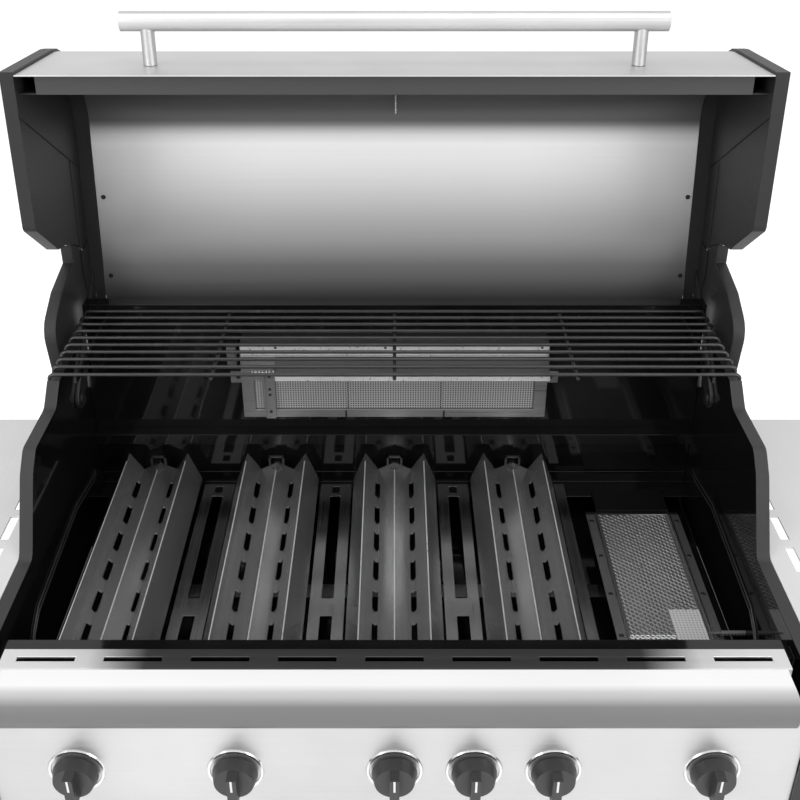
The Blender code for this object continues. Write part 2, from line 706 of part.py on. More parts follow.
def make_tamers():
    """Folded W section: two slotted valleys either side of a low middle ridge, with steep outer legs."""
    half = [(TAMER_LEG_X, TAMER_LEG_DEPTH), (TAMER_RIDGE_X, 0), (TAMER_VALLEY_X, TAMER_VALLEY_DEPTH)]
    section = ([(-x, TAMER_TOP_Z - drop) for x, drop in half] + [(0, TAMER_TOP_Z - TAMER_MIDDLE_DEPTH)]
               + [(x, TAMER_TOP_Z - drop) for x, drop in reversed(half)])
    rear = TAMER_FRONT_Y + TAMER_LENGTH
    for i in range(TAMER_STATIONS):
        middle = station_x(i)
        path = [(middle + x, z) for x, z in section]
        tamer = folded_sheet(f"flame_tamer_{i + 1}", path, TAMER_FRONT_Y, rear, along="Y",
                             thick=TAMER_SHEET)
        slots = []
        for side in (-1, 1):
            x = middle + side * TAMER_VALLEY_X
            for j in range(TAMER_SLOTS):
                end = rear - TAMER_FIRST_SLOT - j * TAMER_SLOT_PITCH
                if end - TAMER_SLOT_LENGTH < TAMER_FRONT_Y + TAMER_SLOT_WIDTH:
                    continue
                slots.append(((x - TAMER_SLOT_WIDTH / 2, end - TAMER_SLOT_LENGTH,
                               TAMER_TOP_Z - TAMER_VALLEY_DEPTH * 2),
                              (x + TAMER_SLOT_WIDTH / 2, end, TAMER_TOP_Z)))
        cut(tamer, blocks(f"tamer_slots_{i + 1}", slots))
        finish(tamer, "tamer_steel")


def make_channels():
    """Flat channels with long openings between the burners; the last, by the sear burner, is a half."""
    foot, top = BURNER_RAIL_Z + SHEET / 2 + GAP, CHANNEL_TOP_Z - SHEET / 2
    for i in range(TAMER_STATIONS):
        middle = channel_x(i)
        last = i == TAMER_STATIONS - 1
        path = [(middle - CHANNEL_HALF, foot), (middle - CHANNEL_HALF, top)]
        path += [(middle - CHANNEL_SLOT_HALF, top)] if last else [(middle + CHANNEL_HALF, top),
                                                                  (middle + CHANNEL_HALF, foot)]
        channel = folded_sheet(f"slotted_channel_{i + 1}", path, CHANNEL_FRONT_Y, CHANNEL_REAR_Y, along="Y")
        if not last:
            openings = ((CHANNEL_SLOT_HALF, CHANNEL_FRONT_SLOT_Y, CHANNEL_BRIDGE_FRONT_Y),
                        (CHANNEL_SLOT_HALF, CHANNEL_BRIDGE_REAR_Y, CHANNEL_REAR_SLOT_Y),
                        (CHANNEL_HOLE_HALF, CHANNEL_HOLE_FRONT_Y, CHANNEL_HOLE_REAR_Y))
            cut(channel, blocks(f"channel_openings_{i + 1}", [((middle - half, low, top - OVERRUN),
                                                               (middle + half, high, top + OVERRUN))
                                                              for half, low, high in openings]))
        finish(channel, "tamer_steel")


def make_burners():
    for i in range(TAMER_STATIONS):
        x = station_x(i)
        tube = rods(f"burner_{i + 1}", [((x, BURNER_FRONT_Y, BURNER_Z), (x, BURNER_REAR_Y, BURNER_Z))],
                    BURNER_RADIUS)
        bore = rods(f"burner_bore_{i + 1}", [((x, BURNER_FRONT_Y - OVERRUN, BURNER_Z),
                                              (x, BURNER_FRONT_Y + BURNER_BORE_DEPTH, BURNER_Z))],
                                              BURNER_BORE)
        cut(tube, bore)
        finish(tube, "tamer_steel")


def make_sear_burner():
    x = station_x(TAMER_STATIONS)
    under = SEAR_FLANGE_Z - SHEET
    box = block("sear_burner_box", (x - SEAR_HALF_WIDTH, SEAR_FRONT_Y, under),
                (x + SEAR_HALF_WIDTH, SEAR_REAR_Y, SEAR_FLANGE_Z))
    front, rear = SEAR_FRONT_Y + TILE_MARGIN, SEAR_REAR_Y - TILE_MARGIN
    join(box, block("sear_body", (x - SEAR_BODY_HALF, front - SHEET, SEAR_FLANGE_Z - SEAR_BODY_DEPTH),
                    (x + SEAR_BODY_HALF, rear + SHEET, under + SHEET / 2)))
    lug_front = SEAR_REAR_Y - TILE_MARGIN / 2
    lug = [(lug_front, under), (lug_front, SEAR_LUG_Z + SHEET),
           (lug_front + SEAR_LUG_REACH, SEAR_LUG_Z + SHEET),
           (lug_front + SEAR_LUG_REACH, SEAR_LUG_Z), (lug_front + SHEET, SEAR_LUG_Z),
           (lug_front + SHEET, under)]
    join(box, plate("sear_lug", lug, x - SEAR_LUG_HALF, x + SEAR_LUG_HALF))
    join(box, rods("sear_tube", [((x, BURNER_FRONT_Y, SEAR_TUBE_Z), (x, front, SEAR_TUBE_Z))],
                   BURNER_RADIUS))
    cut(box, rods("sear_bore", [((x, BURNER_FRONT_Y - OVERRUN, SEAR_TUBE_Z),
                                 (x, BURNER_FRONT_Y + BURNER_BORE_DEPTH / 2, SEAR_TUBE_Z))], BURNER_BORE))
    pocket = SEAR_FLANGE_Z - TILE_THICK - GAP
    cut(box, block("sear_pocket", (x - TILE_HALF_WIDTH - GAP, front, pocket),
                   (x + TILE_HALF_WIDTH + GAP, rear, SEAR_FLANGE_Z + OVERRUN)))
    finish(box, "tamer_steel")
    tile = block("sear_burner_tile", (x - TILE_HALF_WIDTH, front + GAP, pocket + GAP),
                 (x + TILE_HALF_WIDTH, rear - GAP, SEAR_FLANGE_Z))
    finish(tile, "ceramic")
    make_sear_mesh(x, rear)
    igniter = rods("sear_igniter", [((CHEEK_INNER_X - GAP - IGNITER_LENGTH, IGNITER_Y, IGNITER_Z),
                                     (CHEEK_INNER_X - GAP, IGNITER_Y, IGNITER_Z))], IGNITER_RADIUS)
    tip = CHEEK_INNER_X - IGNITER_LENGTH
    join(igniter, rods("igniter_wire", [((tip - IGNITER_WIRE, IGNITER_Y, IGNITER_Z),
                                         (tip, IGNITER_Y, IGNITER_Z))],
                       IGNITER_WIRE_RADIUS, WIRE_SIDES))
    finish(igniter, "ceramic")


def make_sear_mesh(x, rear):
    """Expanded-metal guard over the sear tiles: a sheet with staggered diamond openings."""
    low = SEAR_FLANGE_Z + GAP
    guard = block("sear_burner_mesh", (x - MESH_HALF_WIDTH, MESH_FRONT_Y, low),
                  (x + MESH_HALF_WIDTH, rear, low + MESH_THICK))
    wide = MESH_HALF_WIDTH * 2 / (DIAMOND_COLUMNS + 1)
    long = (rear - MESH_FRONT_Y) / (DIAMOND_ROWS / 2 + 1)

    def build(data):
        for row in range(DIAMOND_ROWS):
            odd = row % 2
            for column in range(DIAMOND_COLUMNS - odd):
                centre = (x - MESH_HALF_WIDTH + wide * (column + 1 + odd / 2),
                          MESH_FRONT_Y + long * (row / 2 + 3 / 4), low)
                size = Matrix.Diagonal((wide * DIAMOND_SHARE, long * DIAMOND_SHARE, 1, 1))
                bmesh.ops.create_cone(data, cap_ends=True, segments=4, radius1=1 / 2, radius2=1 / 2,
                                      depth=OVERRUN,
                                      matrix=Matrix.Translation(centre) @ size)

    cut(guard, mesh_object("mesh_diamonds", build))
    finish(guard, "stainless")


def make_rear_burner():
    rear = BACK_WALL_Y - SHEET / 2 - GAP
    front = rear - REAR_DEPTH
    housing = block("rear_burner_housing", (-REAR_HALF_X, front, REAR_FOOT_Z),
                    (REAR_HALF_X, rear, REAR_TOP_Z))
    tabs = [(span(side, REAR_HALF_X - REAR_TAB_THICK, REAR_HALF_X + REAR_TAB)) for side in (-1, 1)]
    join(housing, blocks("rear_tabs", [((low, rear - REAR_TAB_THICK, REAR_TAB_Z - REAR_TAB_HALF),
                                        (high, rear, REAR_TAB_Z + REAR_TAB_HALF)) for low, high in tabs]))
    cut(housing, block("rear_face_pocket", (-REAR_FACE_HALF_X, front - OVERRUN, REAR_FACE_FOOT_Z),
                       (REAR_FACE_HALF_X, front + REAR_FACE_RECESS, REAR_FACE_TOP_Z)))
    finish(housing, "stainless")
    face_rear = front + REAR_FACE_RECESS - GAP
    face = block("rear_burner_face", (-REAR_FACE_HALF_X + GAP, face_rear - REAR_FACE_THICK,
                                      REAR_FACE_FOOT_Z + GAP),
                 (REAR_FACE_HALF_X - GAP, face_rear, REAR_FACE_TOP_Z - GAP))
    joints = []
    for i in range(1, REAR_PANELS):
        x = -REAR_FACE_HALF_X + 2 * REAR_FACE_HALF_X * i / REAR_PANELS
        joints.append(((x - REAR_FACE_JOINT / 2, front - OVERRUN, REAR_FOOT_Z),
                       (x + REAR_FACE_JOINT / 2, face_rear - REAR_FACE_THICK / 2, REAR_TOP_Z)))
    cut(face, blocks("face_joints", joints))
    finish(face, "dark_steel")
    start = front - SHEET / 2 - GAP
    lip = REAR_HOOD_ROOT_Z - REAR_HOOD_DROP
    path = [(start, REAR_HOOD_ROOT_Z + REAR_HOOD_LIP), (start, REAR_HOOD_ROOT_Z),
            (start - REAR_HOOD_REACH, lip),
            (start - REAR_HOOD_REACH, lip - REAR_HOOD_LIP)]
    finish(folded_sheet("rear_burner_hood", path, REAR_HOOD_LEFT_X, REAR_HALF_X), "stainless")
    electrode = block("rear_igniter", (ELECTRODE_X - ELECTRODE_HALF, rear - ELECTRODE_DEPTH,
                                       ELECTRODE_FOOT_Z),
                      (ELECTRODE_X + ELECTRODE_HALF, rear, ELECTRODE_TOP_Z))
    height = (ELECTRODE_FOOT_Z + ELECTRODE_TOP_Z) / 2
    rod_y = rear - ELECTRODE_DEPTH / 2
    join(electrode, rods("rear_electrode", [((ELECTRODE_X, rod_y, height),
                                             (ELECTRODE_X, rod_y - ELECTRODE_REACH, height))],
                                             ELECTRODE_ROD, WIRE_SIDES))
    finish(electrode, "ceramic")


def make_rack():
    rear = RACK_FRONT_Y + (RACK_RODS - 1) * RACK_PITCH
    ends = [((-RACK_HALF_X, RACK_FRONT_Y + i * RACK_PITCH, RACK_Z),
             (RACK_HALF_X, RACK_FRONT_Y + i * RACK_PITCH, RACK_Z))
            for i in range(RACK_RODS)]
    rack = rods("warming_rack", ends, ROD_RADIUS, WIRE_SIDES)
    under = RACK_Z - CROSS_DROP
    cross = [((x, RACK_FRONT_Y - CROSS_END, under), (x, rear + ROD_RADIUS, under)) for x in (-CROSS_X, 0,
                                                                                             CROSS_X)]
    join(rack, rods("cross_wires", cross, ROD_RADIUS, WIRE_SIDES))
    pegs = [((x, RACK_FRONT_Y, RACK_Z), (x, RACK_FRONT_Y, RACK_Z - PEG_LENGTH)) for x in (-PEG_X, PEG_X)]
    join(rack, rods("rack_pegs", pegs, PEG_RADIUS, WIRE_SIDES))
    finish(rack, "dark_steel")


def make_manifold():
    """The gas pipe with a valve at each knob; each station's nozzle enters its burner's open end."""
    pipe = rods("gas_manifold", [((-MANIFOLD_HALF_X, MANIFOLD_Y, MANIFOLD_Z),
                                  (MANIFOLD_HALF_X, MANIFOLD_Y, MANIFOLD_Z))],
                MANIFOLD_RADIUS)
    places = knob_places()
    join(pipe, blocks("valve_bodies", [((x - VALVE_HALF_X, VALVE_FRONT_Y, VALVE_FOOT_Z),
                                        (x + VALVE_HALF_X, VALVE_REAR_Y, VALVE_TOP_Z)) for x in places]))
    ends = []
    for i in range(STATIONS):
        height = BURNER_Z if i < TAMER_STATIONS else SEAR_TUBE_Z
        start = (VALVE_FRONT_Y + VALVE_REAR_Y) / 2
        ends.append(((station_x(i), start, height), (station_x(i), NOZZLE_REAR_Y, height)))
    join(pipe, rods("nozzles", ends, NOZZLE_RADIUS))
    cut(pipe, rods("stem_sockets", [((x, VALVE_FRONT_Y - OVERRUN, KNOB_Z), (x, STEM_SOCKET_Y, KNOB_Z))
                                    for x in places], STEM_RADIUS + GAP))
    finish(pipe, "brass")


def make_knobs():
    for i, x in enumerate(knob_places()):
        axis = bpy.data.objects.new(f"knob_axis_{i + 1}", None)
        axis.location = (x, 0, KNOB_Z)
        PARTS.objects.link(axis)
        stem = rods(f"valve_stem_{i + 1}", [((0, STEM_REAR_Y, 0), (0, STEM_FRONT_Y + GAP * 2, 0))],
                    STEM_RADIUS)
        finish(stem, "brass", axis)

        def build(data):
            add_rod(data, (0, KNOB_REAR_Y, 0), (0, KNOB_REAR_Y - KNOB_DEPTH, 0), KNOB_RADIUS,
                    KNOB_FRONT_RADIUS,
                    KNOB_SIDES)

        knob = mesh_object(f"knob_{i + 1}", build)
        front = KNOB_REAR_Y - KNOB_DEPTH
        grip = block(f"knob_grip_{i + 1}", (-KNOB_GRIP_HALF, front - KNOB_GRIP_DEPTH,
                                            -KNOB_GRIP_HALF_LENGTH),
                     (KNOB_GRIP_HALF, front + KNOB_GRIP_SINK, KNOB_GRIP_HALF_LENGTH))
        join(knob, grip)
        bore = rods(f"knob_bore_{i + 1}", [((0, KNOB_REAR_Y + OVERRUN, 0), (0, STEM_FRONT_Y, 0))],
                    STEM_RADIUS + GAP)
        cut(knob, bore)
        finish(knob, "knob_black", axis)
        grip.parent = axis
        bore.parent = axis


def make_hopper():
    """The firebox floor: four slopes down to an open mouth above the drip tray."""
    inset = SHEET / 2 + GAP
    front, rear = FRONT_WALL_Y + inset, BACK_WALL_Y - inset
    half = CHEEK_INNER_X - GAP

    def build(data):
        corners = add_block(data, (-half, front, HOPPER_FOOT_Z), (half, rear, HOPPER_TOP_Z))
        for vert in corners:
            if vert.co.z < (HOPPER_FOOT_Z + HOPPER_TOP_Z) / 2:
                vert.co.x = math.copysign(HOPPER_MOUTH_HALF_X, vert.co.x)
                vert.co.y = HOPPER_MOUTH_FRONT_Y if vert.co.y < 0 else HOPPER_MOUTH_REAR_Y
        level = [face for face in data.faces if abs(face.normal.z) > LEVEL_FACE_SHARE]
        bmesh.ops.delete(data, geom=level, context="FACES_ONLY")

    hopper = mesh_object("hopper", build)
    skin = hopper.modifiers.new("thickness", "SOLIDIFY")
    skin.thickness = SHEET
    skin.offset = -1
    finish(hopper, "enamel")


def make_drip_tray():
    foot = FRAME_HEIGHT + GAP
    tray = block("drip_tray", (-TRAY_HALF_X, TRAY_FRONT_Y, foot), (TRAY_HALF_X, TRAY_REAR_Y, TRAY_TOP_Z))
    cut(tray, block("tray_hollow", (-TRAY_HALF_X + SHEET, TRAY_FRONT_Y + SHEET, foot + SHEET),
                    (TRAY_HALF_X - SHEET, TRAY_REAR_Y - SHEET, TRAY_TOP_Z + OVERRUN)))
    join(tray, block("tray_lip", (-TRAY_HALF_X, TRAY_FRONT_Y - TRAY_LIP, TRAY_TOP_Z - SHEET),
                     (TRAY_HALF_X, TRAY_FRONT_Y + SHEET / 2, TRAY_TOP_Z)))
    finish(tray, "stainless")


def make_base_frame():
    """A welded ring with a middle member, raised under the cheeks."""
    frame = block("base_frame", (-CHEEK_OUTER_X, FRAME_FRONT_Y, 0),
                  (CHEEK_OUTER_X, CHEEK_REAR_Y, FRAME_HEIGHT))
    for word, side in SIDES:
        low, high = span(side, FRAME_CENTRE_HALF, CHEEK_OUTER_X - FRAME_MEMBER)
        cut(frame, block("frame_bay_" + word, (low, FRAME_FRONT_Y + FRAME_MEMBER, -OVERRUN),
                         (high, CHEEK_REAR_Y - FRAME_MEMBER, FRAME_HEIGHT + OVERRUN)))
        low, high = span(side, CHEEK_OUTER_X - FRAME_MEMBER, CHEEK_OUTER_X)
        join(frame, block("frame_riser_" + word, (low, FRAME_FRONT_Y, FRAME_HEIGHT - SHEET),
                          (high, CHEEK_REAR_Y, CHEEK_BASE_Z - GAP)))
    finish(frame, "dark_steel")


def make_shelves():
    start = CHEEK_OUTER_X + GAP
    for word, side in SIDES:
        low, high = span(side, start, start + SHELF_WIDTH)
        top = FRONT_LEVEL_Z
        shelf = block("side_shelf_" + word, (low, SHELF_FRONT_Y, top - SHELF_LIP),
                      (high, SHELF_REAR_Y, top))
        wall = SHELF_SHEET
        cut(shelf, block("shelf_hollow_" + word, (low + wall, SHELF_FRONT_Y + wall,
                                                  top - SHELF_LIP - OVERRUN),
                         (high - wall, SHELF_REAR_Y - wall, top - wall)))
        left, right = span(side, SHELF_SLOT_X - SHELF_SLOT_WIDTH / 2, SHELF_SLOT_X + SHELF_SLOT_WIDTH / 2)
        slots = []
        for i in range(SHELF_SLOTS):
            rear = SHELF_REAR_Y - SHELF_FIRST_SLOT - i * SHELF_SLOT_PITCH
            slots.append(((left, rear - SHELF_SLOT_LENGTH, top - SHELF_SLOT_CUT),
                          (right, rear, top + OVERRUN)))
        cut(shelf, blocks("shelf_slots_" + word, slots))
        foot = top - SHELF_LIP - SHELF_BRACKET_DROP
        inner, outer = side * start, side * (start + SHELF_BRACKET_REACH)
        under = top - wall / 2
        outline = [(inner, under), (inner, foot), (side * (start + SHELF_BRACKET_NOSE), foot),
                   (outer, top - SHELF_LIP), (outer, under)]
        for i, y in enumerate((SHELF_FRONT_Y + SHELF_BRACKET_INSET, SHELF_REAR_Y - SHELF_BRACKET_INSET)):
            join(shelf, plate(f"shelf_bracket_{word}_{i + 1}", outline, -y - SHELF_BRACKET_THICK / 2,
                              -y + SHELF_BRACKET_THICK / 2, FRONT_VIEW))
        finish(shelf, "stainless")


def lid_axis():
    """An empty on the pivot, turned back from the closed lid to the open one."""
    axis = bpy.data.objects.new("lid_hinge_axis", None)
    axis.location = (0, PIVOT_Y, PIVOT_Z)
    axis.rotation_euler = (-math.radians(LID_SWING_DEG), 0, 0)
    PARTS.objects.link(axis)
    return axis


def lid_points(points):
    """From U forward and W up to the lid frame's Y and Z."""
    return [(-u, w) for u, w in points]


def roof_path(inset):
    """Front face, round corner and roof, a wall's depth inside the lid's outline."""
    front, roof = LID_FRONT_U - inset, LID_ROOF_W - inset
    radius = LID_CORNER - inset
    return [(front, LID_RIM_W)] + arc((front - radius, roof - radius), radius, 0, 90)


def liner_sweep():
    """The liner's round corner and skirt."""
    radius = LINER_FRONT_U - LINER_ROOF_U
    return arc((LINER_ROOF_U, LINER_ROOF_W - radius), radius, 90, 0) + [(LINER_FRONT_U, LINER_SKIRT_W)]


def lid_cove(word, side, axis):
    """The lid end's inner flange beside the liner, cut away round the hinge arm."""
    rise = (LINER_ROOF_W - LINER_REAR_W) / (LINER_ROOF_U - LINER_REAR_U)
    roots = [(u, LINER_REAR_W + rise * (u - LINER_REAR_U)) for u in (COVE_ROOT_U, COVE_ROOT_U + COVE_STEP)]
    path = lid_points([(LINER_REAR_U, LINER_REAR_W)] + roots + liner_sweep())
    low, high = span(side, LINER_HALF_X + GAP, CHEEK_INNER_X - GAP)
    cove = folded_sheet("lid_cove_" + word, path, low, high)
    cove.parent = axis
    for vert in cove.data.vertices:
        if abs(vert.co.x) > CHEEK_INNER_X - SHEET and vert.co.y < -COVE_ROOT_U - COVE_STEP / 2:
            vert.co.x = side * (CHEEK_INNER_X + SHEET)
    low, high = span(side, ARM_INNER_X - GAP, CHEEK_INNER_X - GAP / 2)
    cut(cove, plate("arm_notch_" + word, lid_points(arm_outline(ARM_HALF_WIDTH + GAP)), low, high))
    return cove


def arm_outline(half_width):
    lean = math.degrees(math.atan2(ARM_END_W, ARM_END_U))
    return (arc((0, 0), half_width, lean + 90, lean + 270)
            + arc((ARM_END_U, ARM_END_W), half_width, lean - 90, lean + 90))


def make_lid():
    axis = lid_axis()
    edge_start = math.degrees(math.asin(LID_ROOF_W / LID_EDGE_RADIUS))
    edge = roof_path(0) + arc((0, 0), LID_EDGE_RADIUS, edge_start, LID_EDGE_FOOT_DEG)
    outline = rounded([(u, w, 0) for u, w in edge] + [(LID_RIM_REAR_U, LID_RIM_W, LID_RIM_CURVE)])
    for word, side in SIDES:
        low, high = span(side, CHEEK_INNER_X, CHEEK_OUTER_X)
        end = plate("lid_end_" + word, lid_points(outline), low, high, bevel=EDGE_BEVEL)
        end.parent = axis
        join(end, lid_cove(word, side, axis))
        finish(end, "charcoal", axis)
    path = roof_path(LID_SKIN_INSET) + [(LINER_REAR_U - SHEET, LID_ROOF_W - LID_SKIN_INSET)]
    skin = folded_sheet("lid_skin", lid_points(path), -CHEEK_INNER_X + GAP, CHEEK_INNER_X - GAP)
    finish(skin, "stainless", axis)
    skin_front = LID_FRONT_U - LID_SKIN_INSET - SHEET / 2 - GAP
    skin_roof = LID_ROOF_W - LID_SKIN_INSET - SHEET / 2 - GAP
    path = [(LINER_REAR_U, skin_roof), (LINER_REAR_U, LINER_REAR_W)] + liner_sweep() + [(skin_front,
                                                                                         LINER_SKIRT_W)]
    finish(folded_sheet("lid_liner", lid_points(path), -LINER_HALF_X, LINER_HALF_X), "stainless", axis)
    make_hinge(axis)
    make_handle(axis)


def make_hinge(axis):
    """A flat arm against each lid end, turning on a headed pin in the cheek."""
    bar = arm_outline(ARM_HALF_WIDTH)
    for word, side in SIDES:
        low, high = span(side, ARM_INNER_X, ARM_OUTER_X)
        arm = plate("hinge_arm_" + word, lid_points(bar), low, high)
        arm.parent = axis
        cut(arm, rods("arm_hole_" + word, [((low - OVERRUN, 0, 0), (high + OVERRUN, 0, 0))],
                      PIN_RADIUS + GAP))
        finish(arm, "dark_steel", axis)
        head = ARM_INNER_X - GAP - PIN_HEAD
        pin = rods("hinge_pin_" + word, [((side * head, PIVOT_Y, PIVOT_Z),
                                          (side * (CHEEK_OUTER_X - GAP), PIVOT_Y, PIVOT_Z))], PIN_RADIUS)
        join(pin, rods("pin_head_" + word, [((side * head, PIVOT_Y, PIVOT_Z),
                                             (side * (head + PIN_HEAD), PIVOT_Y, PIVOT_Z))],
                                             PIN_HEAD_RADIUS))
        finish(pin, "dark_steel")


def make_handle(axis):
    bar = rods("lid_handle", [((-HANDLE_HALF_X, -HANDLE_U, 0), (HANDLE_HALF_X, -HANDLE_U, 0))],
               HANDLE_RADIUS)
    bar.parent = axis
    seat = LID_FRONT_U - LID_SKIN_INSET + SHEET / 2 + GAP
    join(bar, rods("handle_posts", [((side * HANDLE_POST_X, -seat, 0), (side * HANDLE_POST_X, -HANDLE_U, 0))
                                    for side in (-1, 1)], HANDLE_POST_RADIUS))
    finish(bar, "stainless", axis)


make_cheeks()
make_hood_ends()
make_back_wall()
make_ledges()
make_front_wall()
make_front_trim()
make_tamers()
make_channels()
make_burners()
make_sear_burner()
make_rear_burner()
make_rack()
make_manifold()
make_knobs()
make_hopper()
make_drip_tray()
make_base_frame()
make_shelves()
make_lid()
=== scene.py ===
import json
import math

import bmesh
import bpy
from mathutils import Matrix, Vector


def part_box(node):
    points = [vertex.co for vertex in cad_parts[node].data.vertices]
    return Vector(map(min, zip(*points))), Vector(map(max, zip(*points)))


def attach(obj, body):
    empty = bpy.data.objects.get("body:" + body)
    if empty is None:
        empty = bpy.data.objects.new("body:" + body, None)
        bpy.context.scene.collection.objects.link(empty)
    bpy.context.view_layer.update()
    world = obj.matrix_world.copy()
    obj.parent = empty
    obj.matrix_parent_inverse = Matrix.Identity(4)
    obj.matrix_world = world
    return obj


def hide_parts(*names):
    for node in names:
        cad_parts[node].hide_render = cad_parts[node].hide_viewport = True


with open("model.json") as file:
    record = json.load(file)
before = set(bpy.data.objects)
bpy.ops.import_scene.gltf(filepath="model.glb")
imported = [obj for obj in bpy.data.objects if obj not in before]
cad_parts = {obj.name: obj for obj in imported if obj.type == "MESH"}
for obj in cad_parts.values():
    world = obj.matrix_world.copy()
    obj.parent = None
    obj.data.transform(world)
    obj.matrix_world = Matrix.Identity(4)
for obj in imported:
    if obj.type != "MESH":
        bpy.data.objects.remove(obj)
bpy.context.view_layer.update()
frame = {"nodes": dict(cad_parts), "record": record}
NODES = frame["nodes"]
SIDES = (("left", -1), ("right", 1))
TAMERS = CHANNELS = range(1, 5)
KNOBS = range(1, 7)

# Camera: measured from the picture's vanishing point and the ceramic tiles' real size
CAMERA_PLACE = (0, -1.060, 1.050)
CAMERA_PITCH = math.radians(30.386)
PICTURE_SIZE = 800
FOCAL_PIXELS = 1100
SENSOR = 36
CENTRE_SHIFT_PIXELS = 5.5

# Inner face of the firebox's cheeks
CHEEK_INNER_X = 0.4185

# The lid's pivot and its swing back from closed
PIVOT = Vector((0, 0.194, 0.317))
LID_SWING = math.radians(94)
LID_FRAME = Matrix.Translation(PIVOT) @ Matrix.Rotation(-LID_SWING, 4, "X")


def lid_point(x, forward, up):
    """A place in the closed lid's own frame, as the open lid holds it."""
    return LID_FRAME @ Vector((x, -forward, up))


# Node trees

# Where most of a noise's values lie
NOISE_LOW, NOISE_HIGH = 0.25, 0.75


def shader_tree(name):
    """A new material, its node tree and its shader."""
    made = bpy.data.materials.new(name)
    made.use_nodes = True
    tree = made.node_tree
    return made, tree, tree.nodes["Principled BSDF"]


def fix(shader, **values):
    """Fixed values on the shader's own sockets, whose names are given with _ for each space."""
    for key, value in values.items():
        shader.inputs[key.replace("_", " ")].default_value = value


def reckon(tree, operation, *values):
    """A maths node's result. Each value is another node's output or a number."""
    made = tree.nodes.new("ShaderNodeMath")
    made.operation = operation
    for entry, value in zip(made.inputs, values):
        if isinstance(value, bpy.types.NodeSocket):
            tree.links.new(value, entry)
        else:
            entry.default_value = value
    return made.outputs[0]


def place_of(tree, scale=None):
    """Object coordinates, in metres or stretched by scale."""
    where = tree.nodes.new("ShaderNodeTexCoord").outputs["Object"]
    if scale is None:
        return where
    stretch = tree.nodes.new("ShaderNodeMapping")
    stretch.inputs["Scale"].default_value = scale
    tree.links.new(where, stretch.inputs["Vector"])
    return stretch.outputs["Vector"]


def axes_of(tree, scale=None):
    """The object coordinates' X, Y and Z, each as an output."""
    split = tree.nodes.new("ShaderNodeSeparateXYZ")
    tree.links.new(place_of(tree, scale), split.inputs[0])
    return split.outputs


def sideways(tree):
    """How far a place is from the part's middle, along X."""
    return reckon(tree, "ABSOLUTE", axes_of(tree)[0])


def noise(tree, grain, detail=4, rough=0.5):
    """Noise as fine as its grain, which is one number or one for each axis."""
    made = tree.nodes.new("ShaderNodeTexNoise")
    made.inputs["Scale"].default_value = 1
    made.inputs["Detail"].default_value = detail
    made.inputs["Roughness"].default_value = rough
    scale = grain if isinstance(grain, tuple) else (grain, grain, grain)
    tree.links.new(place_of(tree, scale), made.inputs["Vector"])
    return made.outputs["Fac"]


def spread(tree, source, low, high, start=NOISE_LOW, end=NOISE_HIGH):
    """A range of values from low to high, while source runs from start to end."""
    made = tree.nodes.new("ShaderNodeMapRange")
    for key, value in (("From Min", start), ("From Max", end), ("To Min", low), ("To Max", high)):
        made.inputs[key].default_value = value
    tree.links.new(source, made.inputs["Value"])
    return made.outputs["Result"]


def grey(value):
    return (value, value, value)


def ramp_of(tree, source, stops):
    """A colour ramp over source. Each stop is a position and a colour."""
    made = tree.nodes.new("ShaderNodeValToRGB")
    band = made.color_ramp
    for entry, (position, colour) in zip(band.elements, (stops[0], stops[-1])):
        entry.position = position
        entry.color = (*colour, 1)
    for position, colour in stops[1:-1]:
        band.elements.new(position).color = (*colour, 1)
    tree.links.new(source, made.inputs["Fac"])
    return made.outputs["Color"]


def times(tree, first, second):
    """One colour multiplied by another."""
    mix = tree.nodes.new("ShaderNodeMix")
    mix.data_type = "RGBA"
    mix.blend_type = "MULTIPLY"
    mix.inputs["Factor"].default_value = 1
    tree.links.new(first, mix.inputs["A"])
    tree.links.new(second, mix.inputs["B"])
    return mix.outputs["Result"]


def tint(tree, shader, source, low, high):
    """Base colour from one colour to another, while source runs from 0 to 1."""
    tree.links.new(ramp_of(tree, source, ((0, low), (1, high))), shader.inputs["Base Color"])


def roughen(tree, shader, source, low, high):
    tree.links.new(spread(tree, source, low, high), shader.inputs["Roughness"])


def bump(tree, shader, source, strength, depth):
    """Relief from source: strength is a share, depth is in metres."""
    made = tree.nodes.new("ShaderNodeBump")
    made.inputs["Strength"].default_value = strength
    made.inputs["Distance"].default_value = depth
    tree.links.new(source, made.inputs["Height"])
    tree.links.new(made.outputs["Normal"], shader.inputs["Normal"])


# Grain of brushed steel: the noise's scale along X, Y and Z, low along the lines
ALONG_X = (4, 420, 420)
ALONG_Y = (420, 5, 420)
LINER_GRAIN = (3, 400, 400)
FINE_GRAIN = 200

# Brushed metal: the shares of its lines and clouds, and how far roughness strays
LINE_SHARE = 0.35
CLOUD_GRAIN = 6
CLOUD_RANGE = (0.2, 0.5)
TONE_RANGE = (0.3, 0.75)
SMOOTHER, ROUGHER = 0.06, 0.08
LINE_DEPTH = 0.0003


def brushed(name, low, high, rough, grain, metallic=1.0, relief=0.12, streak=1.0):
    """Sheet metal with fine lines, from a low grey to a high one. Streak scales how far roughness strays."""
    made, tree, shader = shader_tree(name)
    lines = noise(tree, grain, detail=6, rough=0.6)
    cloud = spread(tree, noise(tree, CLOUD_GRAIN, detail=3), *CLOUD_RANGE)
    both = reckon(tree, "MULTIPLY_ADD", lines, LINE_SHARE, cloud)
    tint(tree, shader, spread(tree, both, 0, 1, *TONE_RANGE), grey(low), grey(high))
    roughen(tree, shader, lines, rough - SMOOTHER * streak, rough + ROUGHER * streak)
    fix(shader, Metallic=metallic)
    bump(tree, shader, lines, relief, LINE_DEPTH)
    return made


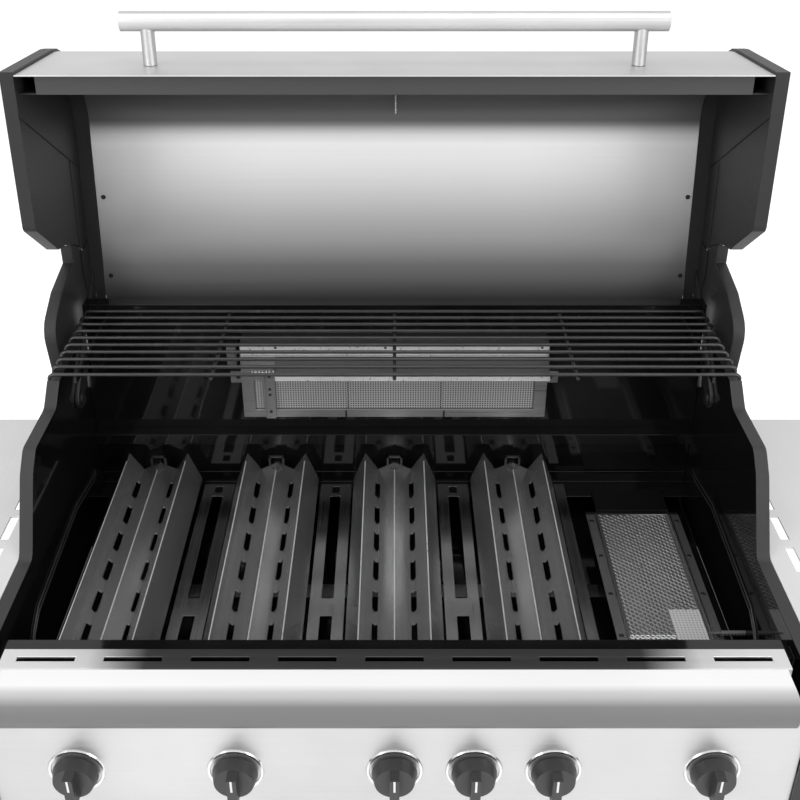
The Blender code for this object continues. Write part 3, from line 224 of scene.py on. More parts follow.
# Powder coat, also on the cheeks: fine grain, broad clouds and a dull sheen
COAT_GRAIN = 900
COAT_CLOUD_GRAIN = 9
COAT_LOW, COAT_HIGH = (0.016, 0.016, 0.017), (0.023, 0.023, 0.024)
COAT_SPECULAR = 0.3


def powder_coat():
    made, tree, shader = shader_tree("charcoal_powder_coat")
    fine = noise(tree, COAT_GRAIN, detail=2)
    cloud = noise(tree, COAT_CLOUD_GRAIN)
    tint(tree, shader, spread(tree, cloud, 0, 1), COAT_LOW, COAT_HIGH)
    roughen(tree, shader, fine, low=0.42, high=0.58)
    fix(shader, Specular_IOR_Level=COAT_SPECULAR)
    bump(tree, shader, fine, strength=0.25, depth=0.0004)
    return made


def enamel():
    """Glossy black, a little rippled."""
    made, tree, shader = shader_tree("black_enamel")
    ripple = noise(tree, grain=14, detail=3)
    tint(tree, shader, spread(tree, ripple, 0, 1), low=grey(0.004), high=grey(0.008))
    roughen(tree, shader, noise(tree, grain=240, detail=2), low=0.05, high=0.10)
    fix(shader, Specular_IOR_Level=0.3, Coat_Weight=0.2, Coat_Roughness=0.03)
    bump(tree, shader, ripple, strength=0.02, depth=0.0004)
    return made


# The cheeks' flat inner face: where it ends along X, its tone, its polish and its clear coat
INNER_FACE_ENDS = (CHEEK_INNER_X + 0.0004, CHEEK_INNER_X + 0.0006)
INNER_FACE_TONE = 0.005
INNER_FACE_ROUGH = 0.06
INNER_FACE_COAT = 0.25


def cheek_coat():
    """Charcoal powder coat, with glossy black enamel on the flat face towards the firebox."""
    made, tree, shader = shader_tree("cheek_coat")
    rim = spread(tree, sideways(tree), 0, 1, *INNER_FACE_ENDS)
    coat = spread(tree, noise(tree, COAT_CLOUD_GRAIN), low=0.019, high=0.027)
    rough = spread(tree, noise(tree, COAT_GRAIN, detail=2), low=0.42, high=0.56)
    shade = reckon(tree, "MULTIPLY_ADD", coat, rim, INNER_FACE_TONE)
    polish = reckon(tree, "MULTIPLY_ADD", rough, rim, INNER_FACE_ROUGH)
    tree.links.new(shade, shader.inputs["Base Color"])
    tree.links.new(polish, shader.inputs["Roughness"])
    tree.links.new(spread(tree, rim, INNER_FACE_COAT, 0, 0, 1), shader.inputs["Coat Weight"])
    fix(shader, Specular_IOR_Level=COAT_SPECULAR)
    return made


# The slotted strip's painted shade over its middle ends between these distances from the part's middle
STRIP_SHADE_ENDS = (0.255, 0.315)


def strip_steel():
    """Satin steel with painted shade over its middle, dark like the lid, and pale at its ends."""
    made, tree, shader = shader_tree("strip_steel")
    lines = noise(tree, ALONG_X, detail=6)
    tint(tree, shader, spread(tree, sideways(tree), 0, 1, *STRIP_SHADE_ENDS), low=grey(0.06), high=grey(0.66))
    roughen(tree, shader, lines, low=0.32, high=0.42)
    fix(shader, Metallic=0.8)
    bump(tree, shader, lines, strength=0.08, depth=0.0002)
    return made


# Plain surfaces: how far their roughness strays
PLAIN_SMOOTHER, PLAIN_ROUGHER = 0.05, 0.07


def plain(name, low, high, rough, metallic=0.0):
    """An even surface from a low grey to a high one, with a faint grain."""
    made, tree, shader = shader_tree(name)
    cloud = noise(tree, grain=30)
    tint(tree, shader, spread(tree, cloud, 0, 1), grey(low), grey(high))
    roughen(tree, shader, cloud, rough - PLAIN_SMOOTHER, rough + PLAIN_ROUGHER)
    fix(shader, Metallic=metallic)
    bump(tree, shader, noise(tree, grain=500, detail=2), strength=0.1, depth=0.0003)
    return made


# A small hole's soft edge, as shares of its radius squared
HOLE_INSIDE, HOLE_OUTSIDE = 0.8, 1.25


def dotted(name, pitch, hole, axes, low, high, rough, metallic=0.0):
    """Rows of small round holes along two of the object's axes, from a low grey in them to a high one."""
    made, tree, shader = shader_tree(name)
    places = axes_of(tree, (1 / pitch, 1 / pitch, 1 / pitch))
    squares = []
    for axis in axes:
        middle = reckon(tree, "SUBTRACT", reckon(tree, "FRACT", places[axis]), 0.5)
        squares.append(reckon(tree, "MULTIPLY", middle, middle))
    total = reckon(tree, "ADD", *squares)
    solid = spread(tree, total, 0, 1, hole * hole * HOLE_INSIDE, hole * hole * HOLE_OUTSIDE)
    tint(tree, shader, solid, grey(low), grey(high))
    fix(shader, Roughness=rough, Metallic=metallic)
    bump(tree, shader, solid, strength=0.6, depth=0.001)
    return made


# The liner's painted light and shade: its greys from its lower edge up, as shares of its height
LINER_PAINTED_LIGHT = ((0.0, 0.05), (0.072, 0.087), (0.163, 0.173), (0.255, 0.35), (0.346, 0.47), (0.437, 0.64),
               (0.530, 0.82), (0.620, 0.99), (0.650, 0.83), (0.672, 0.50), (0.686, 0.24), (0.702, 0.10),
               (1.0, 0.04))


def liner_steel():
    """Satin stainless with painted light and shade: dark towards its lower edge and where it curls forward
    at the top, brightest in a band below the curl.
    """
    made, tree, shader = shader_tree("liner_satin_steel")
    lines = noise(tree, LINER_GRAIN, detail=5)
    low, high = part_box("lid_liner")
    height = spread(tree, axes_of(tree)[2], 0, 1, low[2], high[2])
    painted_light_and_shade = ramp_of(tree, height, [(share, grey(tone)) for share, tone in LINER_PAINTED_LIGHT])
    grain = ramp_of(tree, lines, ((0, grey(0.93)), (1, grey(1.0))))
    tree.links.new(times(tree, painted_light_and_shade, grain), shader.inputs["Base Color"])
    roughen(tree, shader, lines, low=0.34, high=0.46)
    fix(shader, Metallic=0.2)
    bump(tree, shader, lines, strength=0.06, depth=0.0002)
    return made


# The front rail's shade: its darkest share, and where it starts and ends behind the front
RAIL_SHADE = 0.20
RAIL_SHADE_START, RAIL_SHADE_END = 0.006, 0.030


def rail_steel():
    """Bright satin steel that falls into shade under its lower edge."""
    made = brushed("rail_steel", low=0.76, high=0.82, rough=0.55, grain=ALONG_X, metallic=0.12, relief=0.02)
    tree = made.node_tree
    base = tree.nodes["Principled BSDF"].inputs["Base Color"]
    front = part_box("front_rail")[0][1]
    shade = spread(tree, axes_of(tree)[1], RAIL_SHADE, 1, front + RAIL_SHADE_START, front + RAIL_SHADE_END)
    tree.links.new(times(tree, base.links[0].from_socket, shade), base)
    return made


# Where the flanges' darker part starts and ends, behind the sear burner's tile
REAR_DARK_START, REAR_DARK_END = -0.001, 0.004


def sear_steel():
    """Grey steel flanges, darker behind the tile."""
    made, tree, shader = shader_tree("sear_steel")
    lines = noise(tree, ALONG_Y, detail=5)
    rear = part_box("sear_burner_tile")[1][1]
    rear_dark = spread(tree, axes_of(tree)[1], 0, 1, rear + REAR_DARK_START, rear + REAR_DARK_END)
    tint(tree, shader, rear_dark, low=grey(0.34), high=grey(0.035))
    roughen(tree, shader, lines, low=0.26, high=0.36)
    fix(shader, Metallic=0.85)
    bump(tree, shader, lines, strength=0.04, depth=0.0003)
    return made


# Looks, by material slot or by node

# Holes: the distance from one to the next, and a hole's radius as a share of it
TILE_HOLES = {"pitch": 0.0042, "hole": 0.20, "axes": (0, 1)}
FACE_HOLES = {"pitch": 0.0034, "hole": 0.30, "axes": (0, 2)}

RACK_BLACK = plain("rack_black_enamel", low=0.02, high=0.035, rough=0.22, metallic=0.3)
CHEEK = cheek_coat()
# Near-black, for holes, notches, screws, seams and rivets; where it stands for a hole, a notch or a sunk
# screw's recess, it is painted shade
DARK_HOLE = plain("dark_recess", low=0.004, high=0.006, rough=0.5)
MARKING = plain("white_marking", low=0.70, high=0.80, rough=0.5)
BRIGHT = brushed("bright_steel", low=0.55, high=0.75, rough=0.2, grain=FINE_GRAIN)
GUARD = brushed("guard_steel", low=0.30, high=0.42, rough=0.3, grain=FINE_GRAIN, metallic=0.9)
RIM = brushed("rim_steel", low=0.80, high=0.95, rough=0.3, grain=FINE_GRAIN, metallic=0.6)
FOIL = brushed("tray_foil", low=0.60, high=0.90, rough=0.5, grain=45, metallic=0.2, relief=1.0)
SHELF_STEEL = brushed("shelf_steel", low=0.62, high=0.72, rough=0.36, grain=ALONG_Y, metallic=0.5)
BARE_TILE = dotted("bare_ceramic", low=0.16, high=0.52, rough=0.75, **TILE_HOLES)
LOOKS = {
    "charcoal_casting": powder_coat(),
    "stainless": brushed("stainless", low=0.46, high=0.58, rough=0.42, grain=ALONG_X, metallic=0.9,
                         relief=0.03),
    "black_enamel": enamel(),
    "tamer_steel": brushed("tamer_steel", low=0.335, high=0.375, rough=0.25, grain=ALONG_Y, metallic=0.85,
                           relief=0.004, streak=0.35),
    "ceramic": dotted("sear_ceramic", low=0.03, high=0.13, rough=0.75, **TILE_HOLES),
    "dark_steel": plain("dark_steel", low=0.035, high=0.055, rough=0.32, metallic=0.6),
    "brass": brushed("brass", low=0.35, high=0.5, rough=0.35, grain=60),
    "knob_black": plain("knob_plastic", low=0.018, high=0.026, rough=0.4),
}
NODE_LOOKS = {
    "lid_liner": liner_steel(),
    "rear_burner_face": dotted("perforated_steel", low=0.012, high=0.50, rough=0.4, metallic=0.5,
                               **FACE_HOLES),
    "warming_rack": RACK_BLACK,
    "side_shelf_left": SHELF_STEEL,
    "side_shelf_right": SHELF_STEEL,
    "rear_burner_hood": brushed("hood_steel", low=0.04, high=0.07, rough=0.36, grain=ALONG_X, metallic=0.8),
    "rear_burner_housing": brushed("housing_steel", low=0.30, high=0.42, rough=0.30, grain=ALONG_X,
                                   metallic=0.9),
    "rear_igniter": plain("igniter_steel", low=0.10, high=0.16, rough=0.4, metallic=0.6),
    "front_rail": rail_steel(),
    "slotted_strip": strip_steel(),
    "sear_burner_box": sear_steel(),
    "cheek_left": CHEEK,
    "cheek_right": CHEEK,
}
for i in CHANNELS:
    NODE_LOOKS[f"slotted_channel_{i}"] = brushed(f"channel_steel_{i}", low=0.42, high=0.56, rough=0.2,
                                                 grain=ALONG_Y, relief=0.008)

# Broken edges of the nodes
EDGE_WIDTH = 0.0006
EDGE_SEGMENTS = 2
EDGE_ANGLE = math.radians(30)
WELD_DISTANCE = 0.00001


def dress(obj, look):
    """A node's own material, with its round faces smooth and its edges a little broken."""
    obj.data.materials.clear()
    obj.data.materials.append(look)
    for face in obj.data.polygons:
        face.use_smooth = True
    weld = obj.modifiers.new("weld", "WELD")
    weld.merge_threshold = WELD_DISTANCE
    edge = obj.modifiers.new("edge", "BEVEL")
    edge.width = EDGE_WIDTH
    edge.segments = EDGE_SEGMENTS
    edge.limit_method = "ANGLE"
    edge.angle_limit = EDGE_ANGLE
    edge.harden_normals = True
    level = obj.modifiers.new("level", "WEIGHTED_NORMAL")
    level.keep_sharp = True


def dress_nodes():
    slots = {entry["node"]: entry["material_slot"] for entry in frame["record"]["subparts"]}
    for node, obj in NODES.items():
        dress(obj, NODE_LOOKS.get(node, LOOKS[slots[node]]))


# New pieces


def keep(obj, body, look):
    """A new piece that rides on a body, with its look."""
    bpy.context.scene.collection.objects.link(obj)
    obj.data.materials.append(look)
    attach(obj, body)
    return obj


def mesh_piece(name, build, body, look):
    """A mesh whose faces the build function adds."""
    mesh = bpy.data.meshes.new(name)
    data = bmesh.new()
    build(data)
    bmesh.ops.recalc_face_normals(data, faces=data.faces)
    data.to_mesh(mesh)
    data.free()
    mesh.shade_smooth()
    mesh.set_sharp_from_angle(angle=EDGE_ANGLE)
    return keep(bpy.data.objects.new(name, mesh), body, look)


def wires(name, routes, radius, body, look, sides=2):
    """Round wires along lists of points, joined in one curve object."""
    curve = bpy.data.curves.new(name, "CURVE")
    curve.dimensions = "3D"
    curve.bevel_depth = radius
    curve.bevel_resolution = sides
    curve.use_fill_caps = True
    for route in routes:
        line = curve.splines.new("POLY")
        line.points.add(len(route) - 1)
        for point, place in zip(line.points, route):
            point.co = (*place, 1)
    return keep(bpy.data.objects.new(name, curve), body, look)


def add_disc(data, centre, normal, radius, top_radius, height, sides):
    """A low round head on a face."""
    turn = Vector(normal).to_track_quat("Z", "Y").to_matrix().to_4x4()
    place = Matrix.Translation(Vector(centre) + Vector(normal).normalized() * height / 2) @ turn
    bmesh.ops.create_cone(data, cap_ends=True, segments=sides, radius1=radius, radius2=top_radius,
                          depth=height, matrix=place)


def add_block(data, low, high):
    low, high = Vector(low), Vector(high)
    place = Matrix.Translation((low + high) / 2) @ Matrix.Diagonal((*(high - low), 1))
    bmesh.ops.create_cube(data, size=1, matrix=place)


def add_bar(data, x, half, y, z):
    """A block centred on x. Its y and z are pairs, from low to high."""
    add_block(data, (x - half, y[0], z[0]), (x + half, y[1], z[1]))


def around(count):
    """A turn's angles, from 0 to the one before 0 comes again."""
    return [math.tau * step / count for step in range(count)]


# Warming rack: its rods, the wires across under them and the pegs that it stands on
RACK_RODS = 10
RACK_ROD_RADIUS = 0.0022
RACK_FIRST_Y = 0.006
RACK_SINK = 0.0001
RACK_BEND = 0.006
RACK_CROSS_X = 0.2165
RACK_CROSS_RADII = 1.7
RACK_PEG_X = 0.3606
RACK_PEG_FOOT = 0.004
RACK_PEG_LEAN = 0.001

# The rods' bent ends: distance in from the end, and the drop as a share of the bend
RACK_TAIL = ((0, 1), (0.0012, 0.45), (0.004, 0.08), (0.008, 0))


def make_rack():
    low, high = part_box("warming_rack")
    first, last = low[1] + RACK_FIRST_Y, high[1] - RACK_ROD_RADIUS
    level = high[2] - RACK_ROD_RADIUS - RACK_SINK
    end = high[0] - RACK_ROD_RADIUS
    routes = []
    for rod in range(RACK_RODS):
        y = first + (last - first) * rod / (RACK_RODS - 1)
        tail = [(end - inward, y, level - RACK_BEND * drop) for inward, drop in RACK_TAIL]
        routes.append([(-x, *rest) for x, *rest in tail] + tail[::-1])
    under = level - RACK_ROD_RADIUS * RACK_CROSS_RADII
    for x in (-RACK_CROSS_X, 0, RACK_CROSS_X):
        routes.append([(x, low[1] + RACK_ROD_RADIUS, under), (x, last, under)])
    for _, side in SIDES:
        x = side * RACK_PEG_X
        routes.append([(x, first, level), (x, first - RACK_PEG_LEAN, low[2] + RACK_PEG_FOOT),
                       (x + side * RACK_PEG_LEAN, first, low[2])])
    rack = wires("rack_wires", routes, RACK_ROD_RADIUS, "firebox", RACK_BLACK, 3)
    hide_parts("warming_rack")


# The corner of the tile that the guard leaves bare
SEAR_BARE_X = 0.3377
SEAR_BARE_Y = -0.0200
SEAR_BARE_FRONT_Y = -0.0740

# The sear burner's guard: its wire, its margin and the size of a diamond
GUARD_WIRE = 0.0007
GUARD_MARGIN = GUARD_WIRE * 6
DIAMOND_ACROSS = 0.0094
DIAMOND_DEEP = 0.0078
DIAMOND_FLAT = 0.0022


def make_sear_mesh():
    """Expanded metal: rows of bent wire that meet at their peaks, and a wire round them."""
    low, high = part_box("sear_burner_mesh")
    x0, x1 = low[0] + GUARD_MARGIN, high[0] - GUARD_MARGIN
    y0, y1 = low[1] + GUARD_WIRE, high[1] - GUARD_WIRE
    top = low[2] + GUARD_WIRE
    pitch = DIAMOND_DEEP / 2
    routes = []
    for row in range(int((y1 - y0) / pitch)):
        middle = y0 + (row + 0.5) * pitch
        stop = SEAR_BARE_X if middle < SEAR_BARE_Y else x1
        x, reach, route = x0, pitch / 2 * (1 if row % 2 else -1), []
        while x < stop - DIAMOND_FLAT:
            route += [(x, middle + reach, top), (x + DIAMOND_FLAT, middle + reach, top)]
            x += DIAMOND_ACROSS / 2
            reach = -reach
        routes.append(route)
    routes.append([(x0, y0, top), (x1, y0, top), (x1, y1, top), (x0, y1, top), (x0, y0, top)])
    mesh = wires("sear_mesh_wires", routes, GUARD_WIRE, "firebox", GUARD)
    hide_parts("sear_burner_mesh")


# The sear burner's flanges: rivets, and a folded bead beside each row of them
FLANGE_Z = 0.140
RIVET = {"radius": 0.0032, "top_radius": 0.0022, "height": 0.0010, "sides": 16}
RIVET_INSET = 0.006
RIVET_Y = (-0.066, 0.010, 0.086, 0.162)
FLANGE_BEAD_INSET = 0.0125
FLANGE_BEAD_HALF = 0.001
FLANGE_BEAD_HEIGHT = 0.0016
FLANGE_BEAD_FRONT, FLANGE_BEAD_REAR = 0.0893, 0.0033


def make_sear_flanges():
    low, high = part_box("sear_burner_box")
    guard_low, guard_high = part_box("sear_burner_mesh")

    def rivets(data):
        for y in RIVET_Y:
            for x in (low[0] + RIVET_INSET, high[0] - RIVET_INSET):
                add_disc(data, (x, y, FLANGE_Z), (0, 0, 1), **RIVET)

    def beads(data):
        for x in (low[0] + FLANGE_BEAD_INSET, high[0] - FLANGE_BEAD_INSET):
            add_bar(data, x, FLANGE_BEAD_HALF,
                    (guard_low[1] - FLANGE_BEAD_FRONT, guard_high[1] + FLANGE_BEAD_REAR),
                    (FLANGE_Z, FLANGE_Z + FLANGE_BEAD_HEIGHT))

    mesh_piece("sear_rivets", rivets, "firebox", DARK_HOLE)
    mesh_piece("sear_flange_beads", beads, "firebox", BRIGHT)


# The liner's screws, on the line from its lower edge to its bend, in the closed lid's frame
LINER_SCREW = {"radius": 0.0032, "top_radius": 0.0026, "height": 0.0012, "sides": 20}
SCREW_X = (-0.3905, 0.3935)
SCREW_SHARES = (0.167, 0.608)
SCREW_LINE_FORWARD = (0.083, 0.3276)
SCREW_LINE_UP = (0.1285, 0.1500)
SCREW_SINK = 0.0009

# The gauge's probe at the liner's top, in the same frame
PROBE_ROUTE = ((0.0015, 0.372, 0.134), (0.0015, 0.352, 0.128), (0.0015, 0.345, 0.126))
PROBE_RADIUS = 0.0016


def between(ends, share):
    return ends[0] + (ends[1] - ends[0]) * share


def make_liner_screws():
    """Two screws down each edge of the liner, sunk a little and near-black, painted shade for their holes,
    and the probe at the top.
    """
    def build(data):
        for x in SCREW_X:
            for share in SCREW_SHARES:
                forward, up = between(SCREW_LINE_FORWARD, share), between(SCREW_LINE_UP, share) - SCREW_SINK
                place = lid_point(x, forward, up)
                add_disc(data, place, lid_point(x, forward, up - 1) - place, **LINER_SCREW)

    mesh_piece("liner_screws", build, "lid", DARK_HOLE)
    probe = [lid_point(*place) for place in PROBE_ROUTE]
    wires("gauge_probe", [probe], PROBE_RADIUS, "lid", BRIGHT, 3)


# Seams on the lid ends, each from one place to another along Y and Z
SEAMS = (((0.151, 0.705), (0.366, 0.5706)), ((0.316, 0.601), (0.3047, 0.480)))
SEAM_X = 0.4177
SEAM_RADIUS = 0.0006


def make_lid_seams():
    """Folded seams on the inner faces of the lid ends."""
    routes = [[(side * SEAM_X, *place) for place in seam] for _, side in SIDES for seam in SEAMS]
    wires("lid_end_seams", routes, SEAM_RADIUS, "lid", DARK_HOLE)


# Rear burner: what lies on its housing starts this far before it
HOUSING_GAP = 0.0002
FORWARD = (0, -1, 0)
STRIP_HALF_X = 0.205
STRIP_SHEET = 0.0012
STRIP_HEIGHTS = ((0.3614, 0.3736), (0.3590, 0.3598))
LIP_FRONT, LIP_REAR, LIP_HEIGHT = 0.0006, 0.0002, 0.0066
STRIP_SCREW = {"radius": 0.0018, "top_radius": 0.0014, "height": 0.0006, "sides": 12}
STRIP_SCREW_X = (-0.158, -0.012, 0.196)
STRIP_SCREW_Z = 0.372
EAR_SCREW = {"radius": 0.0026, "top_radius": 0.002, "height": 0.0010, "sides": 14}
EAR_SCREW_X = (-0.2135, 0.2135)
EAR_SCREW_Y, EAR_SCREW_Z = 0.2511, 0.317


def make_rear_burner_trim():
    """The pale strips above the rear burner's face, its hood's lip and its screws."""
    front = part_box("rear_burner_housing")[0][1] - HOUSING_GAP
    hood_low, hood_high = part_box("rear_burner_hood")

    def strips(data):
        for heights in STRIP_HEIGHTS:
            add_bar(data, 0, STRIP_HALF_X, (front - STRIP_SHEET, front), heights)

    def lip(data):
        add_block(data, (hood_low[0], hood_low[1] - LIP_FRONT, hood_low[2]),
                  (hood_high[0], hood_low[1] + LIP_REAR, hood_low[2] + LIP_HEIGHT))

    def screws(data):
        for x in STRIP_SCREW_X:
            add_disc(data, (x, front - STRIP_SHEET, STRIP_SCREW_Z), FORWARD, **STRIP_SCREW)
        for x in EAR_SCREW_X:
            add_disc(data, (x, EAR_SCREW_Y, EAR_SCREW_Z), FORWARD, **EAR_SCREW)

    mesh_piece("rear_burner_strips", strips, "firebox", RIM)
    mesh_piece("rear_hood_lip", lip, "firebox", RIM)
    mesh_piece("rear_burner_screws", screws, "firebox", DARK_HOLE)


# The igniter's strap, with its folded edges, its holes and the notches beside it; the holes and notches are
# near-black pieces, painted shade
STRAP_X = -0.1690
STRAP_HALF = 0.0068
STRAP_SHEET = 0.0010
STRAP_FOOT_Z = 0.2625
STRAP_TOP_Z = 0.3395
STRAP_FOLD_HALF = 0.0005
STRAP_FOLD_DEPTH = 0.0042
STRAP_FOLD_FOOT = 0.006
STRAP_HOLE = {"radius": 0.0022, "top_radius": 0.0020, "height": 0.0004, "sides": 12}
STRAP_HOLE_Z = (0.2735, 0.300, 0.3085, 0.328)
NOTCH_X = (-0.0664, 0.0677)
NOTCH_HALF = 0.0012
NOTCH_DEPTH = 0.0004
NOTCH_FOOT, NOTCH_TOP = 0.0002, 0.0105

# The coil above the strap
COIL_TURNS = 7
COIL_STEPS = 10
COIL_START_X = -0.192
COIL_LENGTH = 0.033
COIL_FORWARD = 0.0046
COIL_Z = 0.3365
COIL_RADIUS_Y, COIL_RADIUS_Z = 0.0026, 0.0030
COIL_WIRE = 0.0006


def make_igniter_strap():
    """The igniter's folded strap in front of the rear burner, with the coil above it."""
    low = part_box("rear_burner_housing")[0]
    front = low[1] - HOUSING_GAP

    def strap(data):
        add_bar(data, STRAP_X, STRAP_HALF, (front - STRAP_SHEET, front), (STRAP_FOOT_Z, STRAP_TOP_Z))
        for x in (STRAP_X - STRAP_HALF, STRAP_X + STRAP_HALF):
            add_bar(data, x, STRAP_FOLD_HALF, (front - STRAP_FOLD_DEPTH, front),
                    (STRAP_FOOT_Z + STRAP_FOLD_FOOT, STRAP_TOP_Z))

    def holes(data):
        for z in STRAP_HOLE_Z:
            add_disc(data, (STRAP_X, front - STRAP_SHEET, z), FORWARD, **STRAP_HOLE)
        for x in NOTCH_X:
            add_bar(data, x, NOTCH_HALF, (front - NOTCH_DEPTH, front),
                    (low[2] + NOTCH_FOOT, low[2] + NOTCH_TOP))

    mesh_piece("igniter_strap", strap, "firebox", LOOKS["tamer_steel"])
    mesh_piece("rear_burner_notches", holes, "firebox", DARK_HOLE)
    coil = []
    for step in range(COIL_TURNS * COIL_STEPS + 1):
        angle = math.tau * step / COIL_STEPS
        coil.append((COIL_START_X + COIL_LENGTH * step / (COIL_TURNS * COIL_STEPS),
                     front - COIL_FORWARD + COIL_RADIUS_Y * math.cos(angle),
                     COIL_Z + COIL_RADIUS_Z * math.sin(angle)))
    wires("igniter_coil", [coil], COIL_WIRE, "firebox", BRIGHT)


# Ridges of a tamer, out from its middle and down from its top, and the painted highlight wire along each
RIDGES = ((-0.0405, 0.0), (0, 0.0145), (0.0405, 0.0))
HIGHLIGHT_LINE_SINK = 0.0006
HIGHLIGHT_LINE_FRONT, HIGHLIGHT_LINE_REAR = 0.001, 0.020
HIGHLIGHT_LINE_RADIUS = 0.0007


def make_tamer_highlight_lines():
    """A thin bright wire along each ridge, a painted highlight."""
    for i in TAMERS:
        low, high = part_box(f"flame_tamer_{i}")
        middle = (low[0] + high[0]) / 2
        routes = []
        for x, drop in RIDGES:
            level = high[2] - drop - HIGHLIGHT_LINE_SINK
            routes.append([(middle + x, low[1] + HIGHLIGHT_LINE_FRONT, level), (middle + x, high[1] - HIGHLIGHT_LINE_REAR, level)])
        wires(f"tamer_highlight_lines_{i}", routes, HIGHLIGHT_LINE_RADIUS, "firebox", RIM)


# The shade plates' outline along Y and Z, and their two faces: dark plates, painted shade
SHADE_PLATE_OUTLINE = ((0.302, 0.478), (0.300, 0.442), (0.312, 0.412), (0.345, 0.408), (0.362, 0.425),
                  (0.352, 0.480))
SHADE_PLATE_FACES_X = (0.4170, 0.4178)


def make_shade_plates():
    """A dark plate on each lid end, painted shade that closes the view past the hinge arm."""
    corners = len(SHADE_PLATE_OUTLINE)
    for word, side in SIDES:
        def build(data):
            faces = []
            for x in SHADE_PLATE_FACES_X:
                faces.append([data.verts.new((side * x, *place)) for place in SHADE_PLATE_OUTLINE])
                data.faces.new(faces[-1])
            for i in range(corners):
                k = (i + 1) % corners
                data.faces.new((faces[0][i], faces[0][k], faces[1][k], faces[1][i]))

        mesh_piece("shade_plate_" + word, build, "lid", LOOKS["charcoal_casting"])


# The drip tray's floor, and the foil on it
TRAY_FLOOR = 0.0016
FOIL_SHEET = 0.0004
FOIL_INSET = 0.012


def make_tray_foil():
    """The pale foil on the drip tray's floor, seen through the hopper's mouth."""
    low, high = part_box("drip_tray")
    floor = low[2] + TRAY_FLOOR

    def sheet(data):
        add_block(data, (low[0] + FOIL_INSET, low[1] + FOIL_INSET, floor),
                  (high[0] - FOIL_INSET, high[1] - FOIL_INSET, floor + FOIL_SHEET))

    mesh_piece("tray_foil", sheet, "tray", FOIL)


# Knobs: the mark on each, and the bezel's profile round it as radius and height
MARK_HALF = 0.0011
MARK_PROUD = 0.0002
MARK_DEPTH = 0.004
MARK_FOOT = 0.004
MARK_TOP_GAP = 0.0046
BEZEL_PROFILE = ((0.0262, 0.0), (0.0266, 0.0011), (0.0290, 0.0015), (0.0300, 0.0))
BEZEL_SIDES = 48
PANEL_FRONT_Y = -0.26878


def make_knob_trim():
    """A white mark on each knob and a bright bezel on the panel round it."""
    for i in KNOBS:
        low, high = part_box(f"knob_{i}")
        x, z = (low[0] + high[0]) / 2, (low[2] + high[2]) / 2

        def mark(data):
            add_bar(data, x, MARK_HALF, (low[1] - MARK_PROUD, low[1] + MARK_DEPTH),
                    (z + MARK_FOOT, high[2] - MARK_TOP_GAP))

        mesh_piece(f"knob_mark_{i}", mark, f"control_{i}", MARKING)

    def bezels(data):
        for i in KNOBS:
            low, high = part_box(f"knob_{i}")
            x, z = (low[0] + high[0]) / 2, (low[2] + high[2]) / 2
            loops = [[data.verts.new((x + radius * math.cos(angle), PANEL_FRONT_Y - height,
                                      z + radius * math.sin(angle))) for angle in around(BEZEL_SIDES)]
                     for radius, height in BEZEL_PROFILE]
            for a, loop in enumerate(loops):
                after = loops[(a + 1) % len(loops)]
                for j in range(BEZEL_SIDES):
                    k = (j + 1) % BEZEL_SIDES
                    data.faces.new((loop[j], loop[k], after[k], after[j]))

    mesh_piece("knob_bezels", bezels, "firebox", BRIGHT)


# The beads on the firebox's side walls, along Y and Z
BEAD_ROUTE = ((0.215, 0.189), (0.199, 0.188), (0.115, 0.202), (0.011, 0.196), (-0.070, 0.190),
              (-0.096, 0.177), (-0.112, 0.160))
BEAD_LIFTS = (0, -0.007)
BEAD_INSET = 0.0012
BEAD_RADIUS = 0.0011


def make_wall_beads():
    """The formed bead along each side wall of the firebox."""
    for word, side in SIDES:
        x = side * (CHEEK_INNER_X - BEAD_INSET)
        routes = [[(x, y, z + lift) for y, z in BEAD_ROUTE] for lift in BEAD_LIFTS]
        wires("wall_bead_" + word, routes, BEAD_RADIUS, "firebox", LOOKS["dark_steel"], 3)


# The tamers' straps: two legs and a bar, near the tamer's rear end and top
BRACKET_REAR = 0.004
BRACKET_DEPTH = 0.0035
BRACKET_TOP, BRACKET_FOOT = 0.0012, 0.0165
BRACKET_LEG_X = 0.0095
BRACKET_LEG_HALF = 0.0013
BRACKET_BAR_HALF = 0.0108
BRACKET_BAR_HEIGHT = 0.0026


def make_tamer_brackets():
    """A small strap over each tamer's middle ridge at its rear end."""
    for i in TAMERS:
        low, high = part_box(f"flame_tamer_{i}")
        middle, rear = (low[0] + high[0]) / 2, high[1] - BRACKET_REAR
        top, foot = high[2] - BRACKET_TOP, high[2] - BRACKET_FOOT

        def build(data):
            for x in (-BRACKET_LEG_X, BRACKET_LEG_X):
                add_bar(data, middle + x, BRACKET_LEG_HALF, (rear - BRACKET_DEPTH, rear), (foot, top))
            add_bar(data, middle, BRACKET_BAR_HALF, (rear - BRACKET_DEPTH, rear),
                    (top - BRACKET_BAR_HEIGHT, top))

        mesh_piece(f"tamer_strap_{i}", build, "firebox", LOOKS["dark_steel"])


# The bare corner of the tile, and the guard's loops in front
BARE_SINK, BARE_PROUD, BARE_EDGE = 0.001, 0.0006, 0.0005
LOOPS = 9
LOOP_FIRST_X, LOOP_PITCH = 0.006, 0.0062
LOOP_REAR, LOOP_RISE = 0.004, 0.0012
LOOP_RADIUS = 0.0026
LOOP_SIDES = 12
LOOP_WIRE = 0.0008


